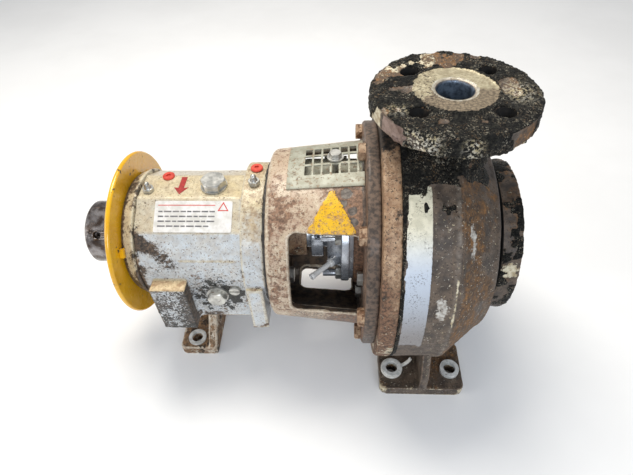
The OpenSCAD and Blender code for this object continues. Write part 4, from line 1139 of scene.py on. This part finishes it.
# Dark and light colour, roughness, then patch size, coat, bump and dirt colour where given
PLAINS = {
    "seal_carbon": ((0.02, 0.02, 0.022), (0.06, 0.06, 0.065), 0.3),
    "black_rubber": ((0.012, 0.012, 0.012), (0.04, 0.038, 0.035), 0.65, 5.0, 0.0, 0.2),
    "red_plastic": ((0.46, 0.035, 0.02), (0.66, 0.07, 0.04), 0.38, 4.0, 0.1, 0.05, (0.16, 0.05, 0.03)),
    "white_plastic": ((0.62, 0.60, 0.55), (0.84, 0.83, 0.79), 0.4, 4.0, 0.1, 0.05, (0.30, 0.22, 0.15)),
    "arrow_film": ((0.26, 0.008, 0.007), (0.40, 0.02, 0.014), 0.4, 5.0, 0.1, 0.05, (0.30, 0.10, 0.06)),
}
# Pieces whose look differs from that of their material slot
OWN_LOOK = {"oil_filler_plug": "plug_silver", "grease_nipples": "plug_silver",
            "support_foot_bolts": "plug_silver", "quench_pipe": "polished_steel",
            "foot_collars": "collar_zinc"}


def dress_small_parts():
    looks = {name: metal_look(name, *values) for name, values in METALS.items()}
    looks.update({name: plain_look(name, *values) for name, values in PLAINS.items()})
    looks.update(guard_paint=guard_look(), mesh_metal=mesh_look())
    for node, ob in NODES.items():
        if ob.hide_render:
            continue
        ob.data.materials.clear()
        ob.data.materials.append(looks.get(OWN_LOOK.get(node, SLOT_OF[node]), RING))
        if node not in SHARP:
            soft_edges(ob, EDGE_WIDTH.get(node, DEFAULT_EDGE))


# ---- floor, light, camera
def make_floor():
    mesh = bpy.data.meshes.new("studio_floor")
    corners = [(x * FLOOR_HALF, y * FLOOR_HALF, 0) for x, y in ((-1, -1), (1, -1), (1, 1), (-1, 1))]
    mesh.from_pydata(corners, [], [[0, 1, 2, 3]])
    ob = add_object("studio_floor", mesh)
    s = Paint("floor_white")
    s.base(s.vary(300, (0.88, 0.88, 0.88), (0.92, 0.92, 0.92)), 0.9)
    mesh.materials.append(s.finish())


def area_light(name, place, size, power, colour):
    light = bpy.data.lights.new(name, "AREA")
    light.shape = "RECTANGLE"
    light.size, light.size_y = size
    light.energy = power
    light.color = colour
    ob = add_object(name, light)
    ob.location = place
    ob.rotation_euler = (Vector(LIGHT_AIM) - Vector(place)).to_track_quat("-Z", "Y").to_euler()


def make_light():
    world = bpy.data.worlds.new("studio")
    bpy.context.scene.world = world
    world.use_nodes = True
    background = world.node_tree.nodes["Background"]
    background.inputs[0].default_value = SKY
    background.inputs[1].default_value = SKY_STRENGTH
    area_light("key", (-0.35, 0.45, 1.5), (0.8, 0.6), 20, (1.0, 0.95, 0.86))
    area_light("front", (0.1, -1.5, 1.1), (1.4, 0.5), 14, (0.84, 0.91, 1.0))
    area_light("left", (-1.5, -0.5, 0.7), (0.6, 0.9), 5, (1.0, 0.97, 0.92))


def make_camera():
    yaw, pitch, roll = CAMERA_TURN
    level = Vector((math.sin(yaw), math.cos(yaw), 0)) * math.cos(pitch)
    forward = level + Vector((0, 0, -math.sin(pitch)))
    right = Vector((math.cos(yaw), -math.sin(yaw), 0))
    up = right.cross(forward)
    rolled_right = math.cos(roll) * right + math.sin(roll) * up
    rolled_up = math.cos(roll) * up - math.sin(roll) * right
    cam = bpy.data.cameras.new("camera")
    ob = add_object("camera", cam)
    turn = Matrix((rolled_right, rolled_up, -forward)).transposed()
    ob.matrix_world = Matrix.Translation(CAMERA_PLACE) @ turn.to_4x4()
    cam.lens = LENS
    cam.sensor_width = SENSOR
    cam.clip_start = 0.01
    bpy.context.scene.camera = ob


# ---- build
RING = ring_look()
HOUSING = housing_look()
FOOT = foot_look()
build_casing()
build_cover()
build_lantern()
build_housing()
build_drive_cover()
build_support()
build_bearing_nose()
build_seam()
build_label()
build_triangle()
dress_small_parts()
make_floor()
make_light()
make_camera()
bpy.context.scene.view_settings.view_transform = "Standard"
